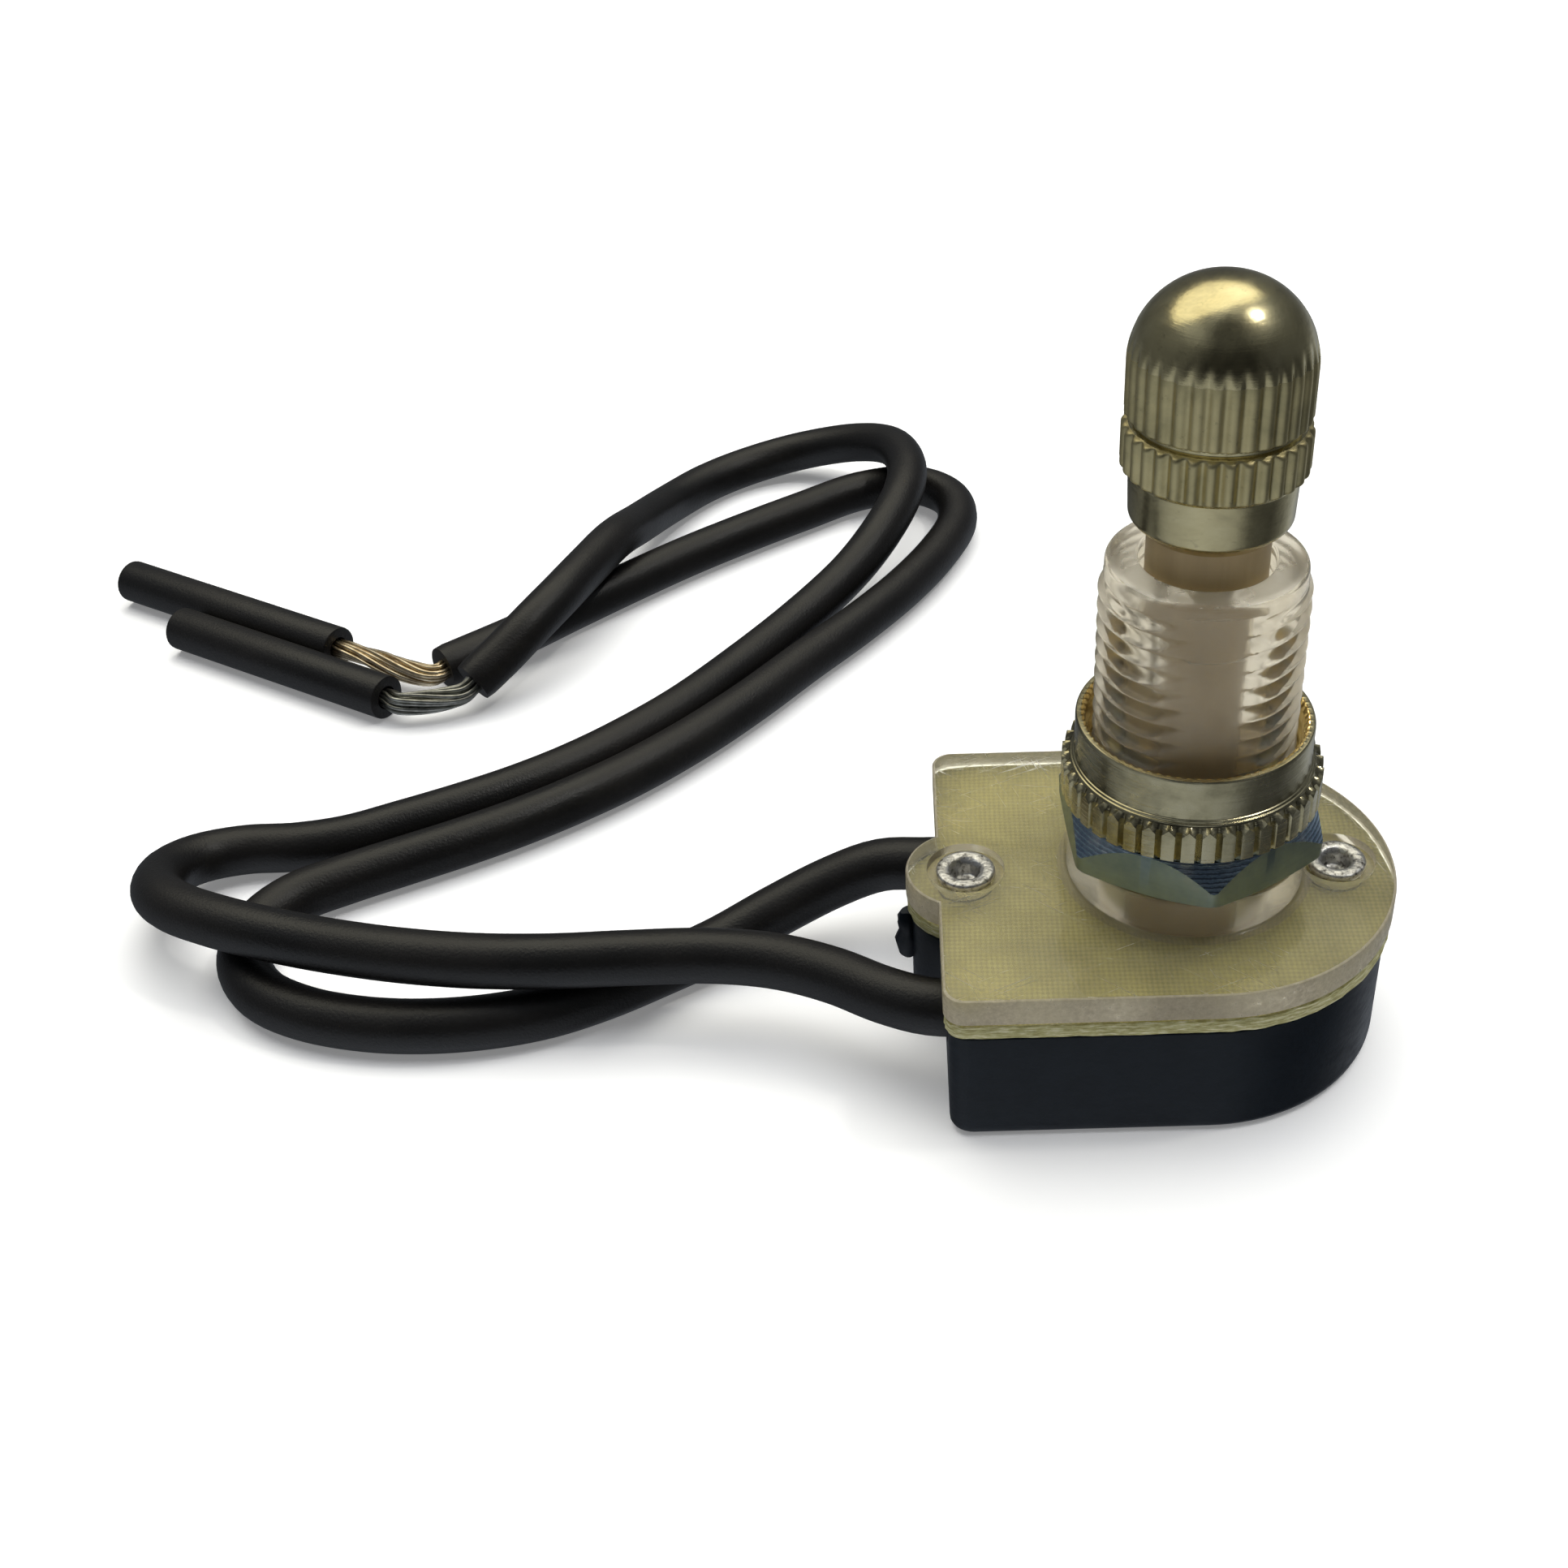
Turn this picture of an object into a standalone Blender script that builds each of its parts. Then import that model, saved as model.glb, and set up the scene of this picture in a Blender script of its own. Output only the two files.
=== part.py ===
"""Rotary lamp switch with two leads: a D-shaped housing under a clear threaded bushing, and a brass knob.

The origin is on the housing's bottom face, on the shaft's axis. +Z runs up the shaft, the round end of
the housing is at +X, and the leads leave its straight side at -X. All numbers below are in millimetres.
"""
import math

import bmesh
import bpy
from mathutils import Vector

MM = 0.001
GAP = 0.15             # seam between stacked pieces

# Housing, insulator and cover, seen from above: a straight left side and a half-round right end
HALF_WIDTH = 10.0
LEFT_X = -12.5
ROUND_X = 0.6          # centre of the half-round end
CORNER_R = 1.0
EAR_X = -11.05         # centre of the rounded ear on the straight side
EAR_R = 3.05
HOUSING_INSET = 0.25   # housing wall set in from the cover's edge
SHEET_INSET = 0.1
FLOOR_Z = 1.2
HOUSING_TOP = 6.65
SHEET_BOTTOM = HOUSING_TOP + GAP
SHEET_TOP = 7.6
PLATE_BOTTOM = SHEET_TOP + GAP
PLATE_TOP = 9.28

# Rivets
RIVET_XS = {"left": EAR_X, "right": 7.75}
RIVET_BORE_R = 1.0
RIVET_BARREL_R = 1.3
RIVET_HEAD_R = 1.6
RIVET_HOLE_R = 1.45
HEAD_RECESS_R = 2.0
HEAD_RECESS_DEPTH = 0.45
TAIL_RECESS_R = 2.3
TAIL_RECESS_DEPTH = 0.9

# Threaded bushing, on the shaft's axis
COLLAR_R = 5.93
COLLAR_TOP = 11.45
THREAD_R = 4.91
THREAD_ROOT_R = 4.4
THREAD_PITCH = 0.94
THREAD_FLAT_Y = 4.2     # relief flats on the front and the back of the thread
THREAD_START = 12.1
THREAD_TURNS = 15
BUSHING_TOP = 27.1
BORE_R = 2.95
BORE_TOP_R = 3.13
BORE_STEP_Z = 23.4
SHEET_HOLE_R = 3.1

# Nuts
NUT_BORE_R = 5.1
HEX_FLATS = 12.0
HEX_BOTTOM = COLLAR_TOP + GAP
HEX_TOP = 14.0
HEX_CHAMFER_R = 6.0
HEX_CHAMFER_SLOPE = 1.42
RING_BOTTOM = HEX_TOP + GAP
RING_KNURL_TOP = 16.1
RING_COLLAR_BOTTOM = 16.35
RING_TOP = 18.49
RING_COLLAR_R = 5.73
RING_KNURL_R = 6.34
RING_KNURL_DEPTH = 0.3
RING_TEETH = 42

# Shaft
SHAFT_R = 2.76
SHAFT_FLANGE_R = 4.3
SHAFT_FLANGE_BOTTOM = 5.45
SHAFT_FLANGE_TOP = 6.35
TANG_HALF = 1.5
TANG_BOTTOM = 2.1
SHAFT_SHOULDER_Z = 30.0
SPIGOT_R = 2.1
SHAFT_TOP = 36.4

# Knob
KNOB_BOTTOM = 28.75
KNOB_MOUTH_R = 2.95
KNOB_MOUTH_TOP = 30.4
KNOB_BORE_R = 2.25
KNOB_BORE_TOP = 36.9
KNOB_COLLAR_R = 3.78
KNOB_BAND_BOTTOM = 31.7
KNOB_BAND_TOP = 33.8
KNOB_BAND_R = 4.2
KNOB_GROOVE_R = 3.8
KNOB_CAP_BOTTOM = 34.2
KNOB_CAP_R = 4.1
KNOB_FLUTE_TOP = 36.3
KNOB_DOME_Z = 36.5     # where the dome's curve starts
KNOB_TOP = 40.4
KNOB_FLUTES = 32
FLUTE_DEPTH = 0.22

# Rotor, bridge and the two contact springs inside the housing
ROTOR_R = 4.2
ROTOR_FLAT_X = 3.95
ROTOR_FLAT_Y = 3.72
ROTOR_BOTTOM = 1.95
ROTOR_TOP = 5.25
ROTOR_HOLE_HALF = 1.65
BRIDGE_WIDTH = 2.4
BRIDGE_OUT_Y = 4.1
BRIDGE_SHEET = 0.25
BRIDGE_BOTTOM = 1.5
BRIDGE_TOP = 4.8
SPRING_SHEET = 0.3
SPRING_BOTTOM = 1.6
SPRING_TOP = 3.8
CHAMBER_R = 4.9
CHANNEL_INNER_Y = 3.6
CHANNEL_OUTER_Y = 7.4

# Leads
WIRE_R = 1.45
CORE_R = 0.6
LEAD_Y = 5.7
LEAD_Z = 5.0
LEAD_INNER_X = -10.1   # where the insulation ends inside the housing
SLOT_R = WIRE_R + 0.27
CRIMP_BORE_R = 0.75
CRIMP_R = 1.05
SLUG_BORE_R = 0.78
FRONT_SLUG_LENGTH = 18.3
BACK_SLUG_LENGTH = 19.3
STRAND_INSIDE = 13.5   # length of bare strand hidden in its slug
TUBE_STEP = 4.0        # spacing of the points along a lead

# Routes of the two leads, chosen by hand: the back lead lies on the surface and the front lead over it
FRONT_ROUTE = [
    (LEAD_INNER_X, -LEAD_Y, LEAD_Z), (-12.9, -5.6, 5.0), (-15.3, -4.6, 4.95), (-18.0, -2.8, 4.8),
    (-21.0, -1.5, 4.7), (-24.5, -0.9, 4.65), (-28.5, -0.9, 4.65), (-32.5, -1.0, 4.65), (-36.5, -0.8, 4.65),
    (-40.5, -0.2, 4.65), (-44.5, 0.8, 4.6), (-48.0, 1.9, 4.6), (-51.0, 3.1, 4.55), (-53.7, 4.8, 4.2),
    (-55.4, 7.0, 3.5), (-55.8, 9.6, 2.7), (-54.7, 11.8, 2.0), (-52.4, 13.0, 1.6), (-49.6, 13.3, 1.45),
    (-46.7, 13.9, 1.45), (-43.8, 15.2, 1.45), (-40.7, 16.7, 1.45), (-37.6, 18.4, 1.45),
    (-34.4, 20.6, 1.45), (-31.3, 23.3, 1.45), (-28.0, 26.8, 1.45), (-24.6, 31.3, 1.5),
    (-21.0, 36.2, 1.8), (-17.6, 40.8, 2.6), (-15.2, 44.7, 3.7), (-13.6, 48.7, 4.6), (-13.3, 52.6, 4.8),
    (-14.4, 56.4, 4.4), (-17.1, 59.3, 3.3), (-21.1, 60.6, 2.1), (-25.1, 59.6, 1.5), (-28.4, 57.0, 1.45),
    (-30.9, 53.2, 1.8), (-32.6, 48.2, 3.0), (-33.8, 43.4, 4.4), (-35.2, 39.2, 4.7), (-36.6, 35.8, 4.6),
    (-38.3, 33.0, 4.0), (-40.0, 31.1, 3.0), (-41.8, 29.4, 2.0),
]
BACK_ROUTE = [
    (LEAD_INNER_X, LEAD_Y, LEAD_Z), (-12.9, 5.8, 4.95), (-15.5, 6.2, 4.6), (-18.2, 5.9, 3.7),
    (-21.3, 4.9, 2.6), (-24.4, 3.4, 1.7), (-27.4, 1.7, 1.45), (-30.2, 0.0, 1.45), (-33.1, -1.3, 1.45),
    (-36.2, -2.0, 1.45), (-39.4, -2.2, 1.45), (-42.6, -1.9, 1.45), (-45.8, -1.0, 1.45),
    (-48.5, 0.6, 1.45), (-50.1, 3.1, 1.45), (-50.2, 6.0, 1.45), (-48.7, 8.5, 1.45), (-46.0, 10.2, 1.45),
    (-42.9, 11.8, 1.45), (-39.8, 13.4, 1.45), (-36.7, 15.2, 1.45), (-33.5, 17.4, 1.45),
    (-30.3, 20.0, 1.45), (-26.9, 23.4, 1.45), (-23.7, 27.2, 1.45), (-20.4, 31.6, 1.45),
    (-16.9, 36.1, 1.45), (-13.7, 40.8, 1.45), (-11.2, 45.5, 1.45), (-9.7, 49.9, 1.45),
    (-10.2, 53.6, 1.45), (-12.9, 55.7, 1.45), (-16.9, 54.9, 1.45), (-21.0, 52.1, 1.45),
    (-25.1, 49.1, 1.45), (-29.0, 46.0, 1.45), (-32.8, 42.6, 1.45), (-36.4, 39.2, 1.45),
    (-39.8, 35.9, 1.45), (-44.3, 32.1, 1.45),
]
# Each slug lies on the surface: the middle of its end that faces the lead, and the way it points
SLUG_HEADING = Vector((-0.863, 0.505, 0.0)).normalized()
FRONT_SLUG_START = Vector((-47.35, 28.75, WIRE_R))
BACK_SLUG_START = Vector((-51.75, 34.85, WIRE_R))


def clear_scene():
    """Remove every object, so that the file holds only this part."""
    for obj in list(bpy.data.objects):
        bpy.data.objects.remove(obj)


def material(name, colour, roughness, metallic=0.0):
    """A Principled BSDF material."""
    mat = bpy.data.materials.new(name)
    mat.use_nodes = True
    shader = mat.node_tree.nodes["Principled BSDF"]
    shader.inputs["Base Color"].default_value = (*colour, 1.0)
    shader.inputs["Roughness"].default_value = roughness
    shader.inputs["Metallic"].default_value = metallic
    return mat


def add_object(name, data, mat):
    """Link data to the scene as a named object with one material."""
    obj = bpy.data.objects.new(name, data)
    bpy.context.scene.collection.objects.link(obj)
    data.materials.append(mat)
    return obj


def add_mesh(name, bm, mat, sharp_angle=35.0):
    """Turn a bmesh into a smooth-shaded object."""
    bmesh.ops.recalc_face_normals(bm, faces=bm.faces)
    mesh = bpy.data.meshes.new(name)
    bm.to_mesh(mesh)
    bm.free()
    mesh.shade_smooth()
    mesh.set_sharp_from_angle(angle=math.radians(sharp_angle))
    return add_object(name, mesh, mat)


def skin(name, rings, mat, closed=False):
    """A solid skinned over rings of points: capped at both ends, or closed round on itself."""
    bm = bmesh.new()
    loops = [[bm.verts.new(Vector(point) * MM) for point in ring] for ring in rings]
    count = len(rings[0])
    pairs = list(zip(loops, loops[1:]))
    if closed:
        pairs.append((loops[-1], loops[0]))
    for low, high in pairs:
        for i in range(count):
            j = (i + 1) % count
            bm.faces.new((low[i], low[j], high[j], high[i]))
    if not closed:
        bm.faces.new(reversed(loops[0]))
        bm.faces.new(loops[-1])
    return add_mesh(name, bm, mat)


def circle(radius, z, count=32, x=0.0, y=0.0):
    """A ring of points in a level plane."""
    steps = (2.0 * math.pi * i / count for i in range(count))
    return [(x + radius * math.cos(a), y + radius * math.sin(a), z) for a in steps]


def toothed(crest_r, root_r, z, teeth):
    """A ring with one crest and one root for each tooth."""
    ring = []
    for i in range(2 * teeth):
        angle = math.pi * i / teeth
        radius = crest_r if i % 2 == 0 else root_r
        ring.append((radius * math.cos(angle), radius * math.sin(angle), z))
    return ring


def square(half, z, count=32):
    """A ring of points round a square hole or tang."""
    ring = []
    for i in range(count):
        angle = 2.0 * math.pi * i / count
        reach = half / max(abs(math.cos(angle)), abs(math.sin(angle)))
        ring.append((reach * math.cos(angle), reach * math.sin(angle), z))
    return ring


def clamped(ring, limit_x, limit_y):
    """The ring with everything outside two pairs of flats pressed onto them."""
    return [(max(-limit_x, min(limit_x, x)), max(-limit_y, min(limit_y, y)), z) for x, y, z in ring]


def arc(centre_x, centre_y, radius, start_deg, end_deg, steps):
    """Points along an arc in plan."""
    angles = (math.radians(start_deg + (end_deg - start_deg) * i / steps) for i in range(steps + 1))
    return [(centre_x + radius * math.cos(a), centre_y + radius * math.sin(a)) for a in angles]


def d_outline(inset, z):
    """The housing's outline from above: half-round end, two corners and the ear, set in by inset."""
    half = HALF_WIDTH - inset
    left = LEFT_X + inset
    corner = CORNER_R
    ear = EAR_R - inset
    reach = math.degrees(math.acos((EAR_X - left) / ear))
    points = arc(ROUND_X, 0.0, half, -90, 90, 24)
    points += arc(left + corner, half - corner, corner, 90, 180, 4)
    points += arc(EAR_X, 0.0, ear, 180 - reach, 180 + reach, 10)
    points += arc(left + corner, corner - half, corner, 180, 270, 4)
    return [(x, y, z) for x, y in points]


def plate(name, inset, bottom, top, mat):
    """A flat sheet with the housing's outline."""
    return skin(name, [d_outline(inset, bottom), d_outline(inset, top)], mat)


def make_cutter(obj):
    """Mark an object as a tool that isn't part of the model."""
    obj.hide_render = True
    obj.display_type = "WIRE"
    return obj


def cut(obj, tools, operation="DIFFERENCE"):
    """Cut each tool out of the object, or join it on."""
    for tool in tools:
        make_cutter(tool)
        boolean = obj.modifiers.new(tool.name, "BOOLEAN")
        boolean.operation = operation
        boolean.solver = "EXACT"
        boolean.object = tool


def cylinder_tool(name, x, y, radius, bottom, top, mat, count=24):
    """An upright round tool."""
    return skin(name, [circle(radius, bottom, count, x, y), circle(radius, top, count, x, y)], mat)


def box_tool(name, low, high, mat):
    """A box-shaped tool between two corners."""
    corners = [(low[0], low[1]), (high[0], low[1]), (high[0], high[1]), (low[0], high[1])]
    return skin(name, [[(x, y, low[2]) for x, y in corners], [(x, y, high[2]) for x, y in corners]], mat)


def slot_tool(name, side, mat):
    """The round-bottomed notch in the housing wall that a lead lies in."""
    profile = arc(side * LEAD_Y, LEAD_Z, SLOT_R, 180, 360, 10)
    top = HOUSING_TOP + 1.0
    profile = [(profile[0][0], top)] + profile + [(profile[-1][0], top)]
    rings = [[(x, y, z) for y, z in profile] for x in (LEFT_X - 1.0, LEFT_X + 2.5)]
    return skin(name, rings, mat)


def make_housing(mat):
    """The black moulded base: floor, walls, two rivet bosses and two lead slots."""
    edge = 0.7
    rings = [
        d_outline(HOUSING_INSET + edge, 0.0),
        d_outline(HOUSING_INSET + edge * 0.3, edge * 0.3),
        d_outline(HOUSING_INSET, edge),
        d_outline(HOUSING_INSET, HOUSING_TOP),
    ]
    housing = skin("base_housing", rings, mat)
    above = HOUSING_TOP + 1.0
    tools = [cylinder_tool("cut_chamber", 0.0, 0.0, CHAMBER_R, FLOOR_Z, above, mat, 40)]
    tools.append(box_tool("cut_cross", (-8.2, -5.0, FLOOR_Z), (-1.0, 5.0, above), mat))
    for side, end in ((-1, "front"), (1, "back")):
        low, high = sorted((side * CHANNEL_INNER_Y, side * CHANNEL_OUTER_Y))
        tools.append(box_tool("cut_channel_" + end, (-10.8, low, FLOOR_Z), (5.6, high, above), mat))
        tools.append(slot_tool("cut_slot_" + end, side, mat))
    for end, x in RIVET_XS.items():
        tools.append(cylinder_tool("cut_rivet_" + end, x, 0.0, RIVET_HOLE_R, -1.0, above, mat))
        tools.append(cylinder_tool("cut_tail_" + end, x, 0.0, TAIL_RECESS_R, -1.0, TAIL_RECESS_DEPTH, mat))
    cut(housing, tools)


def make_sheet(mat):
    """The glass-epoxy insulator between housing and cover."""
    sheet = plate("insulator_sheet", SHEET_INSET, SHEET_BOTTOM, SHEET_TOP, mat)
    tools = [cylinder_tool("cut_sheet_hole", 0.0, 0.0, SHEET_HOLE_R, 6.0, 8.0, mat, 32)]
    for end, x in RIVET_XS.items():
        tools.append(cylinder_tool("cut_sheet_rivet_" + end, x, 0.0, RIVET_HOLE_R, 6.0, 8.0, mat))
    cut(sheet, tools)


def bushing_rings():
    """The outside of the bushing, from inside the plate up: collar, thread ridges and rounded top."""
    count = 40
    buried = PLATE_TOP - 0.8
    rings = [circle(COLLAR_R, buried, count), circle(COLLAR_R, COLLAR_TOP - 0.15, count)]
    rings.append(circle(COLLAR_R - 0.15, COLLAR_TOP, count))
    rings.append(circle(THREAD_ROOT_R, COLLAR_TOP, count))
    for turn in range(THREAD_TURNS):
        root = THREAD_START + turn * THREAD_PITCH
        rings.append(circle(THREAD_ROOT_R, root, count))
        rings.append(circle(THREAD_R, root + THREAD_PITCH / 2.0, count))
    rings.append(circle(THREAD_ROOT_R, THREAD_START + THREAD_TURNS * THREAD_PITCH, count))
    rings.append(circle(THREAD_ROOT_R, BUSHING_TOP - 0.3, count))
    rings.append(circle(THREAD_ROOT_R - 0.3, BUSHING_TOP, count))
    threads = rings[3:]
    return rings[:3] + [clamped(ring, THREAD_R, THREAD_FLAT_Y) for ring in threads]


def make_cover(mat):
    """The clear cover: plate, collar and threaded bushing in one moulding."""
    cover = plate("bushing_cover", 0.0, PLATE_BOTTOM, PLATE_TOP, mat)
    cut(cover, [skin("join_bushing", bushing_rings(), mat)], "UNION")
    bore = [circle(BORE_R, PLATE_BOTTOM - 1.0), circle(BORE_R, BORE_STEP_Z)]
    bore += [circle(BORE_TOP_R, BORE_STEP_Z + 0.1), circle(BORE_TOP_R, BUSHING_TOP + 1.0)]
    tools = [skin("cut_bore", bore, mat)]
    for end, x in RIVET_XS.items():
        tools.append(cylinder_tool("cut_cover_rivet_" + end, x, 0.0, RIVET_HOLE_R, 7.0, 10.0, mat))
        seat = PLATE_TOP - HEAD_RECESS_DEPTH
        tools.append(cylinder_tool("cut_recess_" + end, x, 0.0, HEAD_RECESS_R, seat, 10.0, mat))
    cut(cover, tools)


def make_rivets(mat):
    """Two tubular rivets, rolled over in the cover's recesses and flared under the housing."""
    head_z = PLATE_TOP - HEAD_RECESS_DEPTH + 0.1
    tail_z = TAIL_RECESS_DEPTH - 0.1
    inner = RIVET_BORE_R
    for end, x in RIVET_XS.items():
        profile = [
            (RIVET_BARREL_R, tail_z), (RIVET_BARREL_R, head_z), (RIVET_HEAD_R, head_z),
            (RIVET_HEAD_R, head_z + 0.25), (RIVET_HEAD_R - 0.2, head_z + 0.5), (inner + 0.15, head_z + 0.45),
            (inner, head_z + 0.2), (inner, 0.5), (inner + 0.3, 0.2), (1.7, 0.15), (1.9, 0.35), (1.9, tail_z),
        ]
        rings = [circle(radius, z, 24, x) for radius, z in reversed(profile)]
        skin("rivet_" + end, rings, mat, closed=True)


def hex_ring(z, count=48, chamfered=False):
    """A ring round a hexagon with a corner at the front; chamfered drops the corners along a cone."""
    ring = []
    for i in range(count):
        angle = 2.0 * math.pi * i / count
        off_flat = (angle + math.pi / 6.0) % (math.pi / 3.0) - math.pi / 6.0
        reach = HEX_FLATS / 2.0 / math.cos(off_flat)
        drop = max(0.0, reach - HEX_CHAMFER_R) * HEX_CHAMFER_SLOPE if chamfered else 0.0
        ring.append((reach * math.cos(angle), reach * math.sin(angle), z - drop))
    return ring


def make_hex_nut(mat):
    """The steel jam nut under the panel."""
    count = 48
    rings = [
        circle(NUT_BORE_R, HEX_BOTTOM, count), hex_ring(HEX_BOTTOM), hex_ring(HEX_TOP - 0.04, chamfered=True),
        circle(HEX_CHAMFER_R - 0.06, HEX_TOP, count), circle(NUT_BORE_R + 0.25, HEX_TOP, count),
        circle(NUT_BORE_R, HEX_TOP - 0.25, count),
    ]
    skin("hex_nut", rings, mat, closed=True)


def make_ring_nut(mat):
    """The knurled ring nut: a toothed band under a plain collar."""
    count = 2 * RING_TEETH
    root = RING_KNURL_R - RING_KNURL_DEPTH
    collar = RING_COLLAR_R
    rings = [
        circle(NUT_BORE_R, RING_BOTTOM, count), circle(root - 0.1, RING_BOTTOM, count),
        toothed(RING_KNURL_R, root, RING_BOTTOM + 0.15, RING_TEETH),
        toothed(RING_KNURL_R, root, RING_KNURL_TOP, RING_TEETH),
        circle(collar, RING_COLLAR_BOTTOM, count), circle(collar, RING_TOP - 0.2, count),
        circle(collar - 0.2, RING_TOP, count), circle(NUT_BORE_R + 0.2, RING_TOP, count),
        circle(NUT_BORE_R, RING_TOP - 0.2, count),
    ]
    skin("ring_nut", rings, mat, closed=True)


def make_shaft(mat):
    """The plastic shaft: square tang, flange under the insulator, long journal and spigot."""
    rings = [
        square(TANG_HALF, TANG_BOTTOM), square(TANG_HALF, SHAFT_FLANGE_BOTTOM),
        circle(SHAFT_FLANGE_R, SHAFT_FLANGE_BOTTOM), circle(SHAFT_FLANGE_R, SHAFT_FLANGE_TOP),
        circle(SHAFT_R, SHAFT_FLANGE_TOP), circle(SHAFT_R, SHAFT_SHOULDER_Z - 0.2),
        circle(SHAFT_R - 0.2, SHAFT_SHOULDER_Z), circle(SPIGOT_R, SHAFT_SHOULDER_Z),
        circle(SPIGOT_R, SHAFT_TOP - 0.3), circle(SPIGOT_R - 0.3, SHAFT_TOP),
    ]
    skin("shaft", rings, mat)


def dome_rings(count):
    """The knob's top: a flattened ellipse from the cap's side to a small flat crown."""
    rings = []
    height = KNOB_TOP - KNOB_DOME_Z
    for step in range(1, 8):
        angle = math.radians(12.0 * step)
        rings.append(circle(KNOB_CAP_R * math.cos(angle), KNOB_DOME_Z + height * math.sin(angle), count))
    rings.append(circle(0.15, KNOB_TOP, count))
    return rings


def make_knob(mat):
    """The brass knob: plain collar, knurled band, groove, fluted cap and dome, on a blind bore."""
    count = 2 * KNOB_FLUTES
    root = KNOB_CAP_R - FLUTE_DEPTH
    band_root = KNOB_BAND_R - FLUTE_DEPTH
    rings = [
        circle(KNOB_BORE_R, KNOB_BORE_TOP, count), circle(KNOB_BORE_R, KNOB_MOUTH_TOP, count),
        circle(KNOB_MOUTH_R, KNOB_MOUTH_TOP, count), circle(KNOB_MOUTH_R, KNOB_BOTTOM, count),
        circle(KNOB_COLLAR_R - 0.45, KNOB_BOTTOM, count), circle(KNOB_COLLAR_R, KNOB_BOTTOM + 0.5, count),
        circle(KNOB_COLLAR_R, KNOB_BAND_BOTTOM, count),
        toothed(KNOB_BAND_R, band_root, KNOB_BAND_BOTTOM + 0.1, KNOB_FLUTES),
        toothed(KNOB_BAND_R, band_root, KNOB_BAND_TOP - 0.1, KNOB_FLUTES),
        circle(KNOB_GROOVE_R, KNOB_BAND_TOP, count), circle(KNOB_GROOVE_R, KNOB_CAP_BOTTOM, count),
        toothed(KNOB_CAP_R, root, KNOB_CAP_BOTTOM + 0.1, KNOB_FLUTES),
        toothed(KNOB_CAP_R, root, KNOB_FLUTE_TOP, KNOB_FLUTES),
        circle(KNOB_CAP_R, KNOB_DOME_Z, count),
    ]
    skin("knob", rings + dome_rings(count), mat)


def make_rotor(mat):
    """The plastic drum on the shaft's tang, with four flats."""
    count = 48
    outer = [clamped(circle(ROTOR_R, z, count), ROTOR_FLAT_X, ROTOR_FLAT_Y) for z in (ROTOR_BOTTOM, ROTOR_TOP)]
    inner = [square(ROTOR_HOLE_HALF, z, count) for z in (ROTOR_TOP, ROTOR_BOTTOM)]
    skin("rotor_drum", outer + inner, mat, closed=True)


def make_bridge(mat):
    """The U-shaped strip that joins the two contacts in the on position."""
    out, into = BRIDGE_OUT_Y, BRIDGE_OUT_Y - BRIDGE_SHEET
    low, high = BRIDGE_BOTTOM, BRIDGE_BOTTOM + BRIDGE_SHEET
    profile = [
        (-out, low), (out, low), (out, BRIDGE_TOP), (into, BRIDGE_TOP),
        (into, high), (-into, high), (-into, BRIDGE_TOP), (-out, BRIDGE_TOP),
    ]
    half = BRIDGE_WIDTH / 2.0
    skin("bridge_contact", [[(x, y, z) for y, z in profile] for x in (-half, half)], mat)


def strip_outline(path, thickness):
    """Both sides of a bent strip seen from above."""
    points = [Vector((x, y, 0.0)) for x, y in path]
    sides = ([], [])
    for i, point in enumerate(points):
        before = points[max(i - 1, 0)]
        after = points[min(i + 1, len(points) - 1)]
        along = (after - before).normalized()
        across = Vector((-along.y, along.x, 0.0)) * thickness / 2.0
        sides[0].append(point + across)
        sides[1].append(point - across)
    return sides[0] + sides[1][::-1]


def make_contacts(mat):
    """Two leaf springs that bear on the rotor's front and back."""
    for side, end in ((-1, "front"), (1, "back")):
        path = [(-9.6, 5.5), (-7.0, 5.5), (-6.0, 5.2), (-5.0, 4.7), (-4.2, 4.5), (3.8, 4.5), (4.5, 4.65), (5.1, 5.0)]
        outline = strip_outline([(x, side * y) for x, y in path], SPRING_SHEET)
        rings = [[(p.x, p.y, z) for p in outline] for z in (SPRING_BOTTOM, SPRING_TOP)]
        skin("contact_spring_" + end, rings, mat)


def along_x(radius, x, side, count=16):
    """A ring round a lead's axis inside the housing."""
    return [(x, side * LEAD_Y + y, LEAD_Z + z) for y, z, _ in circle(radius, 0.0, count)]


def make_crimps(core_mat, crimp_mat):
    """The stripped inner end of each lead and the barrel crimped round it."""
    for side, end in ((-1, "front"), (1, "back")):
        core = [along_x(CORE_R, x, side) for x in (LEAD_INNER_X + GAP, -6.7)]
        skin("core_" + end, core, core_mat)
        rings = [along_x(CRIMP_R, -9.3, side), along_x(CRIMP_R, -7.1, side)]
        rings += [along_x(CRIMP_BORE_R, -7.1, side), along_x(CRIMP_BORE_R, -9.3, side)]
        skin("crimp_" + end, rings, crimp_mat, closed=True)


def spline_point(points, i, t):
    """A point between points i and i + 1 on a smooth curve through all of them."""
    last = len(points) - 1
    before, start = points[max(i - 1, 0)], points[i]
    end, after = points[min(i + 1, last)], points[min(i + 2, last)]
    leave = (end - before) / 2.0
    arrive = (after - start) / 2.0
    t2, t3 = t * t, t * t * t
    return (start * (2 * t3 - 3 * t2 + 1) + leave * (t3 - 2 * t2 + t)
            + end * (3 * t2 - 2 * t3) + arrive * (t3 - t2))


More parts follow.
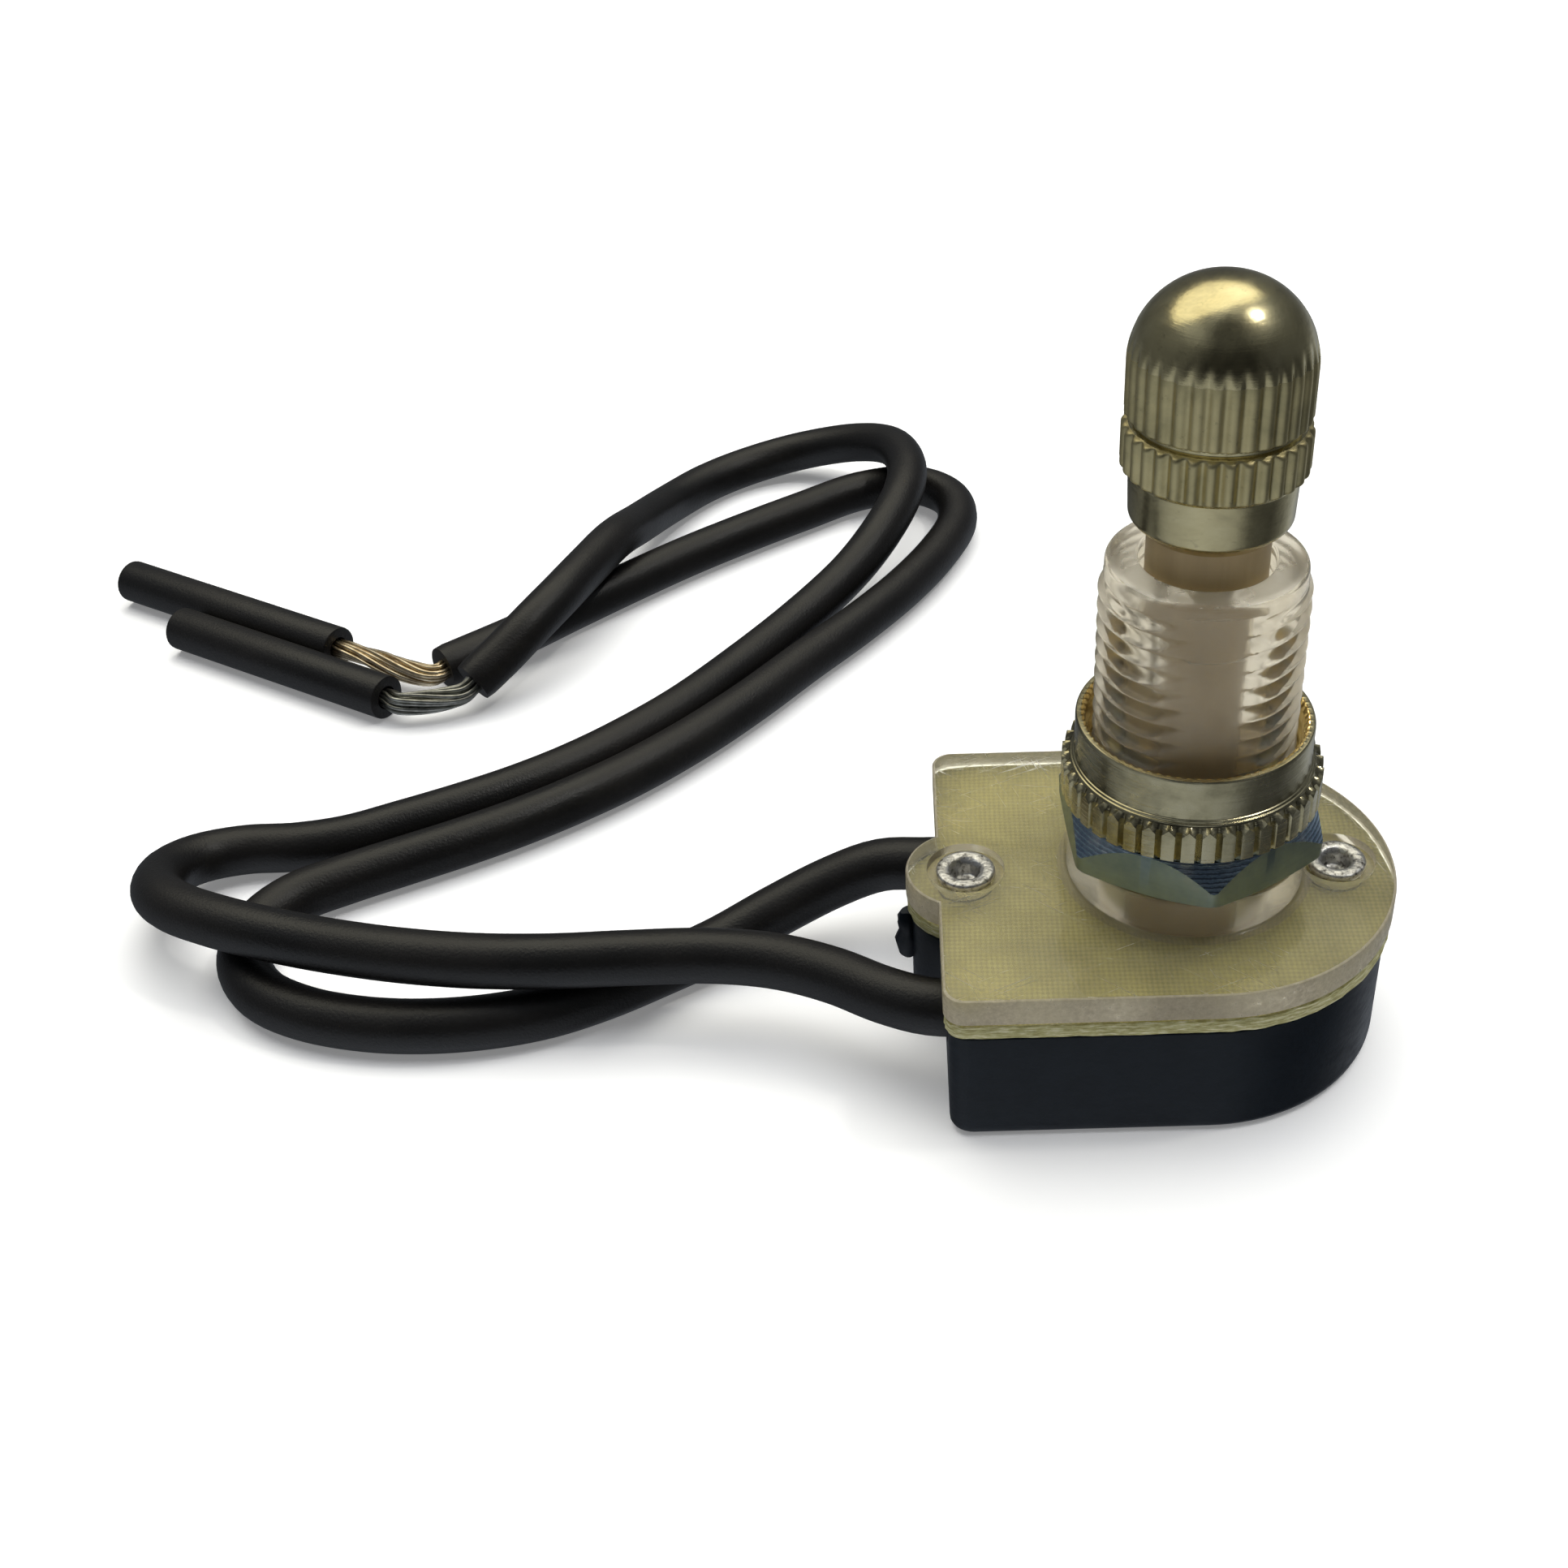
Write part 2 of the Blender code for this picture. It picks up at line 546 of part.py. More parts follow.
def smooth_route(route, step):
    """Evenly spaced points along the smooth curve through a route."""
    points = [Vector(point) for point in route]
    fine = [spline_point(points, i, t / 12.0) for i in range(len(points) - 1) for t in range(12)]
    fine.append(points[-1])
    lengths = [0.0]
    for a, b in zip(fine, fine[1:]):
        lengths.append(lengths[-1] + (b - a).length)
    count = max(2, round(lengths[-1] / step))
    spaced, i = [], 0
    for k in range(count + 1):
        target = lengths[-1] * k / count
        while i < len(fine) - 2 and lengths[i + 1] < target:
            i += 1
        part = (target - lengths[i]) / (lengths[i + 1] - lengths[i])
        spaced.append(fine[i].lerp(fine[i + 1], part))
    return spaced


def make_tube(name, points, radius, mat, resolution=2):
    """A round tube along points, as a bevelled curve with filled ends."""
    curve = bpy.data.curves.new(name, "CURVE")
    curve.dimensions = "3D"
    curve.bevel_depth = radius * MM
    curve.bevel_resolution = resolution
    curve.use_fill_caps = True
    spline = curve.splines.new("POLY")
    spline.points.add(len(points) - 1)
    for knot, point in zip(spline.points, points):
        knot.co = (*(point * MM), 1.0)
    return add_object(name, curve, mat)


def make_slug(name, start, length, mat):
    """A loose tube of stripped insulation lying along SLUG_HEADING."""
    across = Vector((-SLUG_HEADING.y, SLUG_HEADING.x, 0.0))
    rings = []
    for radius, reach in ((WIRE_R, 0.0), (WIRE_R, length), (SLUG_BORE_R, length), (SLUG_BORE_R, 0.0)):
        middle = start + SLUG_HEADING * reach
        ring = [middle + across * y + Vector((0.0, 0.0, z)) for y, z, _ in circle(radius, 0.0, 16)]
        rings.append([tuple(point) for point in ring])
    skin(name, rings, mat, closed=True)


def make_strands(name, route, slug_start, mat):
    """The bare strands from a lead's end into the bore of its slug."""
    points = [Vector(point) for point in route]
    leaving = (points[-1] - points[-2]).normalized()
    start = points[-1] + leaving * GAP
    bend = [start, start + leaving * 1.2]
    bend.append(slug_start - SLUG_HEADING * 1.6 + Vector((0.0, 0.0, 0.1)))
    bend.append(slug_start - SLUG_HEADING * 0.2)
    bend.append(slug_start + SLUG_HEADING * 2.0)
    bend.append(slug_start + SLUG_HEADING * STRAND_INSIDE)
    make_tube(name, smooth_route(bend, 1.2), CORE_R, mat)


def make_leads(wire_mat, core_mat):
    """Both leads, with the bare strands and the loose slugs at their far ends."""
    leads = (
        ("front", FRONT_ROUTE, FRONT_SLUG_START, FRONT_SLUG_LENGTH),
        ("back", BACK_ROUTE, BACK_SLUG_START, BACK_SLUG_LENGTH),
    )
    for end, route, slug_start, slug_length in leads:
        make_tube("wire_" + end, smooth_route(route, TUBE_STEP), WIRE_R, wire_mat)
        make_strands("strands_" + end, route, slug_start, core_mat)
        make_slug("slug_" + end, slug_start, slug_length, wire_mat)


def main():
    clear_scene()
    black = material("black_phenolic", (0.012, 0.013, 0.015), 0.35)
    sheet = material("glass_epoxy", (0.45, 0.42, 0.18), 0.5)
    clear = material("clear_plastic", (0.62, 0.57, 0.5), 0.15)
    nickel = material("nickel", (0.7, 0.69, 0.66), 0.25, 1.0)
    zinc = material("blue_zinc", (0.42, 0.48, 0.52), 0.35, 1.0)
    brass = material("brass", (0.68, 0.55, 0.28), 0.25, 1.0)
    ivory = material("ivory_plastic", (0.5, 0.36, 0.2), 0.45)
    drum = material("drum_plastic", (0.75, 0.73, 0.68), 0.5)
    copper = material("contact_brass", (0.75, 0.58, 0.3), 0.3, 1.0)
    tinned = material("tinned_copper", (0.72, 0.66, 0.56), 0.35, 1.0)
    pvc = material("black_pvc", (0.014, 0.015, 0.017), 0.5)
    make_housing(black)
    make_sheet(sheet)
    make_cover(clear)
    make_rivets(nickel)
    make_hex_nut(zinc)
    make_ring_nut(brass)
    make_shaft(ivory)
    make_knob(brass)
    make_rotor(drum)
    make_bridge(copper)
    make_contacts(copper)
    make_crimps(tinned, copper)
    make_leads(pvc, tinned)


main()
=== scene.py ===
"""Looks of the rotary lamp switch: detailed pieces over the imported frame, leads, materials, light, camera.

Lengths are in millimetres in the row frame; MM turns them into metres.
"""
import math

import bmesh
import bpy
from mathutils import Matrix, Vector


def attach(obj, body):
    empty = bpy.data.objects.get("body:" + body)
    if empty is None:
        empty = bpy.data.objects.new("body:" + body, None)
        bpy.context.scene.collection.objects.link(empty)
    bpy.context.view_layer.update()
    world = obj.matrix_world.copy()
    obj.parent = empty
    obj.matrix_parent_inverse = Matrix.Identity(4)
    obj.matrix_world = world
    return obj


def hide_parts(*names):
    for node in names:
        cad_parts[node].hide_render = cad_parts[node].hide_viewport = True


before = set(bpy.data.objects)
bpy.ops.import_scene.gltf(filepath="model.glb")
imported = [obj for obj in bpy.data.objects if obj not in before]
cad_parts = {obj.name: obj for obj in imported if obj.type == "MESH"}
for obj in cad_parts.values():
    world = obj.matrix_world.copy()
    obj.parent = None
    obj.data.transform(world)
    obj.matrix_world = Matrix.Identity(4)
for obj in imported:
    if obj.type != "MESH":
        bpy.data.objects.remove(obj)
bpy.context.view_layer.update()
MM = 0.001
TAU = 2.0 * math.pi

# Housing, sheet and cover
HALF_WIDTH, LEFT_X, ROUND_X, CORNER_R, EAR_X, EAR_R = 10.0, -12.5, 0.6, 1.0, -11.05, 3.05
RIVET_XS = {"left": EAR_X, "right": 7.75}
HOUSING_TOP, SHEET_BOTTOM, SHEET_TOP, PLATE_BOTTOM, PLATE_TOP = 6.65, 6.8, 7.6, 7.75, 9.28
HOUSING_INSET, FLOOR_Z, CHAMBER_R = 0.27, 1.2, 4.9
CHANNEL_INNER_Y, CHANNEL_OUTER_Y, SLOT_R = 3.6, 7.4, 1.72
RIVET_BARREL_R, RIVET_HOLE_R, TAIL_RECESS_R, TAIL_RECESS_DEPTH = 1.3, 1.45, 2.3, 0.9
COLLAR_R, COLLAR_TOP = 5.93, 11.45
THREAD_CREST, THREAD_ROOT, THREAD_PITCH, THREAD_FLAT_Y = 4.91, 4.30, 0.94, 4.14
BUSHING_TOP, NECK_R = 27.1, 4.66
BORE_R, BORE_TOP_R, BORE_STEP_Z = 2.95, 3.13, 23.42

# Nuts
NUT_GROOVE_R = 5.45     # groove radius of both nuts' threads
HEX_BOTTOM, HEX_TOP, HEX_FLATS, HEX_TURN, HEX_POINTS = 11.6, 14.0, 12.0, math.radians(3.0), 240
RING_BOTTOM, RING_TOP, RING_COLLAR_R, RING_RIDGE_R, RING_GAP_R = 14.13, 18.49, 5.73, 6.34, 6.04
RING_TEETH, POINTS_PER_TOOTH = 42, 12

# Shaft and knob
TANG_HALF, TANG_BOTTOM = 1.5, 2.1
FLANGE_R, FLANGE_BOTTOM, FLANGE_TOP = 4.3, 5.45, 6.35
SHAFT_R, SHOULDER_Z, SPIGOT_R, SHAFT_TOP = 2.83, 30.0, 2.1, 36.4
KNOB_BOTTOM, KNOB_DOME_Z, KNOB_TOP, KNOB_BAND_R, KNOB_CAP_R = 28.75, 36.5, 40.4, 4.2, 4.1
KNOB_MOUTH_R, KNOB_MOUTH_TOP, KNOB_BORE_R, KNOB_BORE_TOP = 2.95, 30.4, 2.25, 36.9
KNOB_FLUTES, KNOB_POINTS, CAP_FLUTE_DEPTH = 32, 320, 0.17

# Leads
WIRE_R = 1.45
LEAD_Y, LEAD_Z, LEAD_INNER_X = 5.7, 5.0, -10.1
FRONT_ROUTE = [
    (LEAD_INNER_X, -LEAD_Y, LEAD_Z), (-12.9, -5.6, 5.0), (-15.3, -4.6, 4.95), (-18.0, -2.8, 4.8),
    (-21.0, -1.5, 4.7), (-24.5, -0.9, 4.65), (-28.5, -0.9, 4.65), (-32.5, -1.0, 4.65),
    (-36.5, -0.8, 4.65), (-40.5, -0.2, 4.65), (-44.5, 0.8, 4.6), (-48.0, 1.9, 4.6), (-51.0, 3.1, 4.55),
    (-53.7, 4.8, 4.2), (-55.4, 7.0, 3.5), (-55.8, 9.6, 2.7), (-54.7, 11.8, 2.0), (-52.4, 13.0, 1.6),
    (-49.6, 13.3), (-46.7, 13.9), (-43.8, 15.2), (-40.7, 16.7), (-37.6, 18.4), (-34.4, 20.6),
    (-31.3, 23.3), (-28.0, 26.8), (-24.6, 31.3, 1.5), (-21.0, 36.2, 1.8), (-17.6, 40.8, 2.6),
    (-15.2, 44.7, 3.7), (-13.6, 48.7, 4.6), (-13.3, 52.6, 4.8), (-14.4, 56.4, 4.4), (-17.1, 59.3, 3.3),
    (-21.1, 60.6, 2.1), (-25.1, 59.6, 1.5), (-28.4, 57.0), (-30.9, 53.2, 1.8), (-32.6, 48.2, 3.0),
    (-33.8, 43.4, 4.4), (-35.2, 39.2, 4.7), (-36.6, 35.8, 4.6), (-38.3, 33.0, 4.0), (-40.0, 31.1, 3.0),
    (-41.8, 29.4, 2.0),
]
BACK_ROUTE = [
    (LEAD_INNER_X, LEAD_Y, LEAD_Z), (-12.9, 5.8, 4.95), (-15.5, 6.2, 4.6), (-18.2, 5.9, 3.7),
    (-21.3, 4.9, 2.6), (-24.4, 3.4, 1.7), (-27.4, 1.7), (-30.2, 0.0), (-33.1, -1.3), (-36.2, -2.0),
    (-39.4, -2.2), (-42.6, -1.9), (-45.8, -1.0), (-48.5, 0.6), (-50.1, 3.1), (-50.2, 6.0), (-48.7, 8.5),
    (-46.0, 10.2), (-42.9, 11.8), (-39.8, 13.4), (-36.7, 15.2), (-33.5, 17.4), (-30.3, 20.0),
    (-26.9, 23.4), (-23.7, 27.2), (-20.4, 31.6), (-16.9, 36.1), (-13.7, 40.8), (-11.2, 45.5),
    (-9.7, 49.9), (-10.2, 53.6), (-12.9, 55.7), (-16.9, 54.9), (-21.0, 52.1), (-25.1, 49.1),
    (-29.0, 46.0), (-32.8, 42.6), (-36.4, 39.2), (-39.8, 35.9), (-44.3, 32.1),
]
SLUG_HEADING = Vector((-0.863, 0.505, 0.0)).normalized()
SLUG_LENGTHS = {"front": 18.3, "back": 19.3}
SLUG_STARTS = {"front": Vector((-47.35, 28.75, WIRE_R)), "back": Vector((-51.75, 34.85, WIRE_R))}
ROUTES = {     # a point given without a height lies on the floor
    end: [point if len(point) == 3 else (*point, WIRE_R) for point in route]
    for end, route in (("front", FRONT_ROUTE), ("back", BACK_ROUTE))
}
SLUG_BORE_R = 0.78
STRAND_R, STRAND_STEP, STRAND_TWIST = 0.135, 0.25, 0.26     # the twist is in radians per millimetre
STRAND_LAYERS = ((0.0, 1, 0.0), (0.26, 6, 0.2), (0.50, 11, 0.0))     # radius, number, part turned


# ---------------- camera, light and floor
def set_inputs(node, **values):
    """Give a shader node's inputs their values; an underscore stands for a space in an input's name."""
    for name, value in values.items():
        node.inputs[name.replace("_", " ")].default_value = value


def add_object(name, data):
    """An object with this data, linked to the scene."""
    obj = bpy.data.objects.new(name, data)
    bpy.context.scene.collection.objects.link(obj)
    return obj


def make_camera():
    """The camera of the reference view: pitched down, with a very small roll."""
    pitch, roll = math.radians(36.52), math.radians(1.59)
    right, up = Vector((1.0, 0.0, 0.0)), Vector((0.0, math.sin(pitch), math.cos(pitch)))
    back = Vector((0.0, -math.cos(pitch), math.sin(pitch)))
    turned_right = right * math.cos(roll) - up * math.sin(roll)
    turned_up = right * math.sin(roll) + up * math.cos(roll)
    data = bpy.data.cameras.new("camera")
    data.sensor_width = 36.0
    data.lens = 45.6
    data.shift_x, data.shift_y = -0.0783, -0.0011
    data.clip_start, data.clip_end = 0.005, 20.0
    cam = add_object("camera", data)
    axes = Matrix((turned_right, turned_up, back)).transposed().to_4x4()
    cam.matrix_world = Matrix.Translation(Vector((-13.903, -78.225, 72.693)) * MM) @ axes
    bpy.context.scene.camera = cam


def area_light(name, azimuth, elevation, distance, size, power, colour, size_y=None):
    """An area light on a sphere round the object, facing the object."""
    a, e = math.radians(azimuth), math.radians(elevation)
    away = Vector((math.cos(a) * math.cos(e), math.sin(a) * math.cos(e), math.sin(e)))
    data = bpy.data.lights.new(name, "AREA")
    data.energy = power
    data.color = colour
    data.shape = "ELLIPSE"
    data.size, data.size_y = size, size_y or size
    light = add_object(name, data)
    light.location = away * distance + Vector((-0.01, 0.0, 0.02))
    light.rotation_mode = "QUATERNION"
    light.rotation_quaternion = away.to_track_quat("Z", "Y")


SKY = (     # height of the direction from -1, straight down, to 1, straight up, and brightness
    (-1.0, 0.20), (-0.16, 0.20), (-0.03, 0.10), (0.30, 0.10), (0.60, 0.14), (0.74, 0.34), (0.84, 0.36),
    (0.92, 0.24), (0.98, 0.36), (1.0, 0.50),
)
ROOM = (    # azimuth in degrees, and brightness of the room below the horizon relative to the sky table
    (-180, 0.9), (-160, 1.7), (-115, 2.3), (-66, 1.7), (-42, 0.35), (-6, 0.25), (18, 0.9), (42, 2.2),
    (66, 1.1), (118, 0.5), (180, 0.9),
)
WALLS = (   # azimuth in degrees, and the same for the room above the horizon: dark behind the camera
    (-180, 1.0), (-145, 0.8), (-118, 0.22), (-62, 0.20), (-35, 0.45), (0, 0.7), (60, 1.0), (180, 1.0),
)
AIR_TINT = (0.95, 1.02, 1.12)   # the room is slightly blue


def fill_ramp(ramp, stops):
    """Give a colour ramp its stops, each a position and a colour."""
    elements = ramp.color_ramp.elements
    while len(elements) < len(stops):
        elements.new(0.5)
    for element, (position, colour) in zip(elements, stops):
        element.position = position
        element.color = (*colour, 1.0)


def mix_colours(tree, share, first, second, mode, clamp):
    """A mix of two colours; share, first and second are outputs or values."""
    mix = tree.nodes.new("ShaderNodeMix")
    mix.data_type, mix.blend_type, mix.clamp_result = "RGBA", mode, clamp
    for place, value in ((0, share), (6, first), (7, second)):
        if isinstance(value, bpy.types.NodeSocket):
            tree.links.new(value, mix.inputs[place])
        else:
            mix.inputs[place].default_value = (*value, 1.0) if isinstance(value, tuple) else value
    return mix.outputs[2]


def world_ramp(tree, value, stops, low, high, tint=(1.0, 1.0, 1.0)):
    """A ramp in the world's shader over value from low to high, and the brightness it is relative to."""
    spread = tree.nodes.new("ShaderNodeMapRange")
    set_inputs(spread, From_Min=low, From_Max=high)
    tree.links.new(value, spread.inputs["Value"])
    ramp = tree.nodes.new("ShaderNodeValToRGB")
    top = max(level for _, level in stops)
    fill_ramp(ramp, [
        ((where - low) / (high - low), [level / top * share for share in tint]) for where, level in stops
    ])
    tree.links.new(spread.outputs["Result"], ramp.inputs["Fac"])
    return ramp.outputs["Color"], top


def make_world():
    """A dim room: dark at eye level, lighter overhead, and uneven round the object below the horizon."""
    world = bpy.data.worlds.new("studio")
    bpy.context.scene.world = world
    world.use_nodes = True
    tree = world.node_tree
    nodes, links = tree.nodes, tree.links
    split = nodes.new("ShaderNodeSeparateXYZ")
    links.new(nodes.new("ShaderNodeTexCoord").outputs["Generated"], split.inputs[0])
    east, north, height = split.outputs
    sky, sky_top = world_ramp(tree, height, SKY, -1.0, 1.0, AIR_TINT)
    azimuth = nodes.new("ShaderNodeMath")
    azimuth.operation = "ARCTAN2"
    links.new(north, azimuth.inputs[0])
    links.new(east, azimuth.inputs[1])
    turned = azimuth.outputs[0]
    tables = [[(math.radians(angle), level) for angle, level in table] for table in (ROOM, WALLS)]
    (room, room_top), (walls, _) = (world_ramp(tree, turned, table, -math.pi, math.pi) for table in tables)
    dim = 1.0 / room_top
    dimmed = mix_colours(tree, 1.0, walls, (dim, dim, dim), "MULTIPLY", False)
    below = nodes.new("ShaderNodeMapRange")
    set_inputs(below, From_Min=0.15, From_Max=-0.15)
    links.new(height, below.inputs["Value"])
    uneven = mix_colours(tree, below.outputs["Result"], dimmed, room, "MIX", False)
    both = mix_colours(tree, 1.0, sky, uneven, "MULTIPLY", False)
    links.new(both, nodes["Background"].inputs["Color"])
    set_inputs(nodes["Background"], Strength=sky_top * room_top)


def set_piece(name, bm, paint, base, glow, strength):
    """A piece of the set from a bmesh, with a plain glowing paint; also gives the paint's shader."""
    mesh = bpy.data.meshes.new(name)
    bm.to_mesh(mesh)
    bm.free()
    mat = bpy.data.materials.new(paint)
    mat.use_nodes = True
    shader = mat.node_tree.nodes["Principled BSDF"]
    set_inputs(
        shader, Base_Color=(base, base, base, 1.0), Emission_Color=(*glow, 1.0), Emission_Strength=strength)
    mesh.materials.append(mat)
    return add_object(name, mesh), shader


def make_backdrop():
    """A far white dome behind the floor's edge: it lights nothing and isn't reflected."""
    bm = bmesh.new()
    bmesh.ops.create_uvsphere(bm, u_segments=48, v_segments=24, radius=2.8)
    dome, _ = set_piece("backdrop", bm, "backdrop_white", 0.0, (1.0, 1.0, 0.99), 0.99)
    dome.visible_diffuse = dome.visible_glossy = dome.visible_shadow = False


def make_floor():
    """A pale sheet of paper just under the object, which gloss doesn't reflect."""
    bm = bmesh.new()
    bmesh.ops.create_grid(bm, x_segments=1, y_segments=1, size=3.0)
    floor, shader = set_piece("floor", bm, "floor_paper", 0.90, (1.0, 1.0, 1.0), 0.20)
    set_inputs(shader, Roughness=0.9, Specular_IOR_Level=0.1)
    floor.location = (0.0, 0.0, -0.00002)
    floor.visible_glossy = False


def make_studio():
    """The room, soft lights, a white backdrop and a pale floor."""
    make_world()
    area_light("window_light", 106, 61, 0.6, 0.90, 1.35, (1.0, 0.93, 0.70), 0.52)
    area_light("lamp_light", 4, 61, 0.5, 0.045, 0.3, (1.0, 0.97, 0.90))
    fill = add_object("fill_light", bpy.data.lights.new("fill_light", "SUN"))
    fill.data.energy, fill.data.angle, fill.data.color = 2.5, math.radians(70.0), (0.975, 0.985, 1.0)
    fill.rotation_euler = (math.radians(-14.0), math.radians(6.0), 0.0)
    fill.visible_glossy = False
    make_backdrop()
    bpy.context.scene.view_settings.view_transform = "Standard"
    bpy.context.scene.view_settings.look = "None"
    make_floor()


# ---------------- material helpers
class Look:
    """A material under construction: a Principled shader and the nodes that feed it."""

    def __init__(self, name, colour, roughness, metallic=0.0, **sockets):
        self.material = bpy.data.materials.new(name)
        self.material.use_nodes = True
        self.tree = self.material.node_tree
        self.shader = self.tree.nodes["Principled BSDF"]
        set_inputs(self.shader, Base_Color=(*colour, 1.0), Roughness=roughness, Metallic=metallic)
        set_inputs(self.shader, **sockets)
        self.coords = self.tree.nodes.new("ShaderNodeTexCoord").outputs["Object"]

    def link(self, output, target):
        self.tree.links.new(output, target)

    def node(self, kind, **settings):
        made = self.tree.nodes.new(kind)
        for key, value in settings.items():
            setattr(made, key, value)
        return made

    def stretched(self, scale, rotation=(0.0, 0.0, 0.0)):
        """Object coordinates turned and then multiplied by scale, for streaks and grain."""
        coords = self.coords
        for socket, value in (("Rotation", rotation), ("Scale", scale)):
            mapping = self.node("ShaderNodeMapping")
            mapping.inputs[socket].default_value = value
            self.link(coords, mapping.inputs["Vector"])
            coords = mapping.outputs["Vector"]
        return coords

    def noise(self, scale, detail=4.0, rough=0.55, coords=None, distortion=0.0):
        made = self.node("ShaderNodeTexNoise")
        set_inputs(made, Scale=scale, Detail=detail, Roughness=rough, Distortion=distortion)
        self.link(coords or self.coords, made.inputs["Vector"])
        return made.outputs["Fac"]

    def wave(self, scale, direction, coords, distortion, detail=2.0, kind="BANDS"):
        made = self.node("ShaderNodeTexWave", wave_type=kind)
        setattr(made, kind.lower() + "_direction", direction)
        set_inputs(made, Scale=scale, Distortion=distortion, Detail=detail, Detail_Scale=2.0)
        self.link(coords or self.coords, made.inputs["Vector"])
        return made.outputs["Fac"]

    def ramp(self, fac, *stops):
        """Colour stops (position, colour or grey value) along fac."""
        made = self.node("ShaderNodeValToRGB")
        fill_ramp(made, [(at, (tone,) * 3 if isinstance(tone, float) else tone) for at, tone in stops])
        self.link(fac, made.inputs["Fac"])
        return made.outputs["Color"]

    def blend(self, share, first, second, mode="MIX"):
        return mix_colours(self.tree, share, first, second, mode, True)

    def bump(self, height, strength, distance, under=None):
        made = self.node("ShaderNodeBump")
        set_inputs(made, Strength=strength, Distance=distance)
        self.link(height, made.inputs["Height"])
        if under is not None:
            self.link(under, made.inputs["Normal"])
        return made.outputs["Normal"]

    def feed(self, socket, output, stops):
        """Feed an input of the shader, through a ramp where there are stops."""
        self.link(self.ramp(output, *stops) if stops else output, self.shader.inputs[socket])

    def colour(self, output, *stops):
        self.feed("Base Color", output, stops)

    def roughness(self, output, *stops):
        self.feed("Roughness", output, stops)

    def finish(self, height, strength, distance, under=None):
        """Give the surface its last bumps; the finished material."""
        self.link(self.bump(height, strength, distance, under), self.shader.inputs["Normal"])
        return self.material


# ---------------- materials
def black_phenolic():
    """Moulded black base: slightly blue, semi-gloss, with a faint mould grain and scuffs."""
    look = Look("look_black_phenolic", (0.008, 0.010, 0.014), 0.34, Specular_IOR_Level=0.27)
    blotch = look.noise(260.0, 5.0)
    look.colour(blotch, (0.3, (0.0020, 0.0052, 0.0100)), (0.7, (0.0040, 0.0085, 0.0150)))
    scuff = look.noise(900.0, 6.0, 0.7, look.stretched((1.0, 1.0, 3.0)))
    look.roughness(scuff, (0.3, 0.30), (0.75, 0.48))
    grain = look.bump(look.noise(5200.0, 3.0), 0.12, 0.00006)
    return look.finish(blotch, 0.15, 0.0003, grain)


def glass_epoxy():
    """Woven glass in yellow-green resin: two crossed sets of threads under a cloudy tint."""
    look = Look("look_glass_epoxy", (0.30, 0.27, 0.10), 0.42)
    askew = (0.0, 0.0, 0.02)
    warp = look.wave(1250.0, "X", look.stretched((1.0, 1.0, 1.0), askew), 1.0)
    weft = look.wave(1100.0, "Y", look.stretched((1.0, 1.0, 1.0), askew), 1.0)
    threads = look.blend(0.5, warp, weft)
    cloud = look.noise(160.0, 4.0, 0.6)
    tint = look.ramp(
        cloud, (0.3, (0.23, 0.205, 0.062)), (0.5, (0.37, 0.335, 0.125)), (0.72, (0.54, 0.49, 0.225)))
    look.colour(look.blend(0.38, tint, look.ramp(threads, (0.25, 0.25), (0.75, 0.75)), "OVERLAY"))
    return look.finish(threads, 0.25, 0.00004)


def glass_epoxy_edge():
    """Punched edge of the sheet: pale broken fibres and darker gaps."""
    look = Look("look_glass_epoxy_edge", (0.46, 0.43, 0.26), 0.7)
    fibres = look.noise(1300.0, 6.0, 0.7, look.stretched((1.0, 1.0, 7.0)))
    look.colour(fibres, (0.30, (0.15, 0.14, 0.05)), (0.48, (0.34, 0.32, 0.13)), (0.68, (0.62, 0.60, 0.42)))
    return look.finish(fibres, 0.5, 0.00012)


def clear_plastic():
    """Clear moulding of the bushing: milky, warm and slightly rippled."""
    look = Look("look_clear_plastic", (0.70, 0.60, 0.42), 0.2, Transmission_Weight=0.84, IOR=1.33)
    ripple = look.noise(300.0, 2.0, 0.5)
    look.colour(ripple, (0.3, (0.61, 0.555, 0.43)), (0.7, (0.73, 0.685, 0.57)))
    look.roughness(ripple, (0.35, 0.13), (0.7, 0.21))
    return look.finish(ripple, 0.06, 0.00016)


def clear_plastic_mouth():
    """Rim of the bushing's mouth: the same moulding, slightly frosted."""
    look = Look("look_clear_mouth", (0.66, 0.62, 0.54), 0.27, Transmission_Weight=0.88, IOR=1.33)
    cloud = look.noise(420.0, 3.0, 0.5)
    look.colour(cloud, (0.3, (0.62, 0.575, 0.46)), (0.7, (0.76, 0.72, 0.62)))
    look.roughness(cloud, (0.35, 0.24), (0.7, 0.32))
    return look.finish(cloud, 0.1, 0.0002)


def scratches(look):
    """Fine lines in four directions, stronger in patches."""
    where = look.noise(150.0, 3.0, 0.6)
    total = None
    for turn, along, across, start in (
        (0.70, 90.0, 6200.0, 0.625), (-0.45, 110.0, 6800.0, 0.635), (1.25, 130.0, 7400.0, 0.63),
        (0.15, 100.0, 5600.0, 0.645),
    ):
        streak = look.noise(1.0, 2.0, 0.6, look.stretched((along, across, 1.0), (0.0, 0.0, turn)))
        line = look.ramp(streak, (start, 0.0), (start + 0.05, 1.0))
        total = line if total is None else look.blend(1.0, total, line, "ADD")
    return look.blend(1.0, total, look.ramp(where, (0.38, 0.1), (0.58, 1.0)), "MULTIPLY"), where


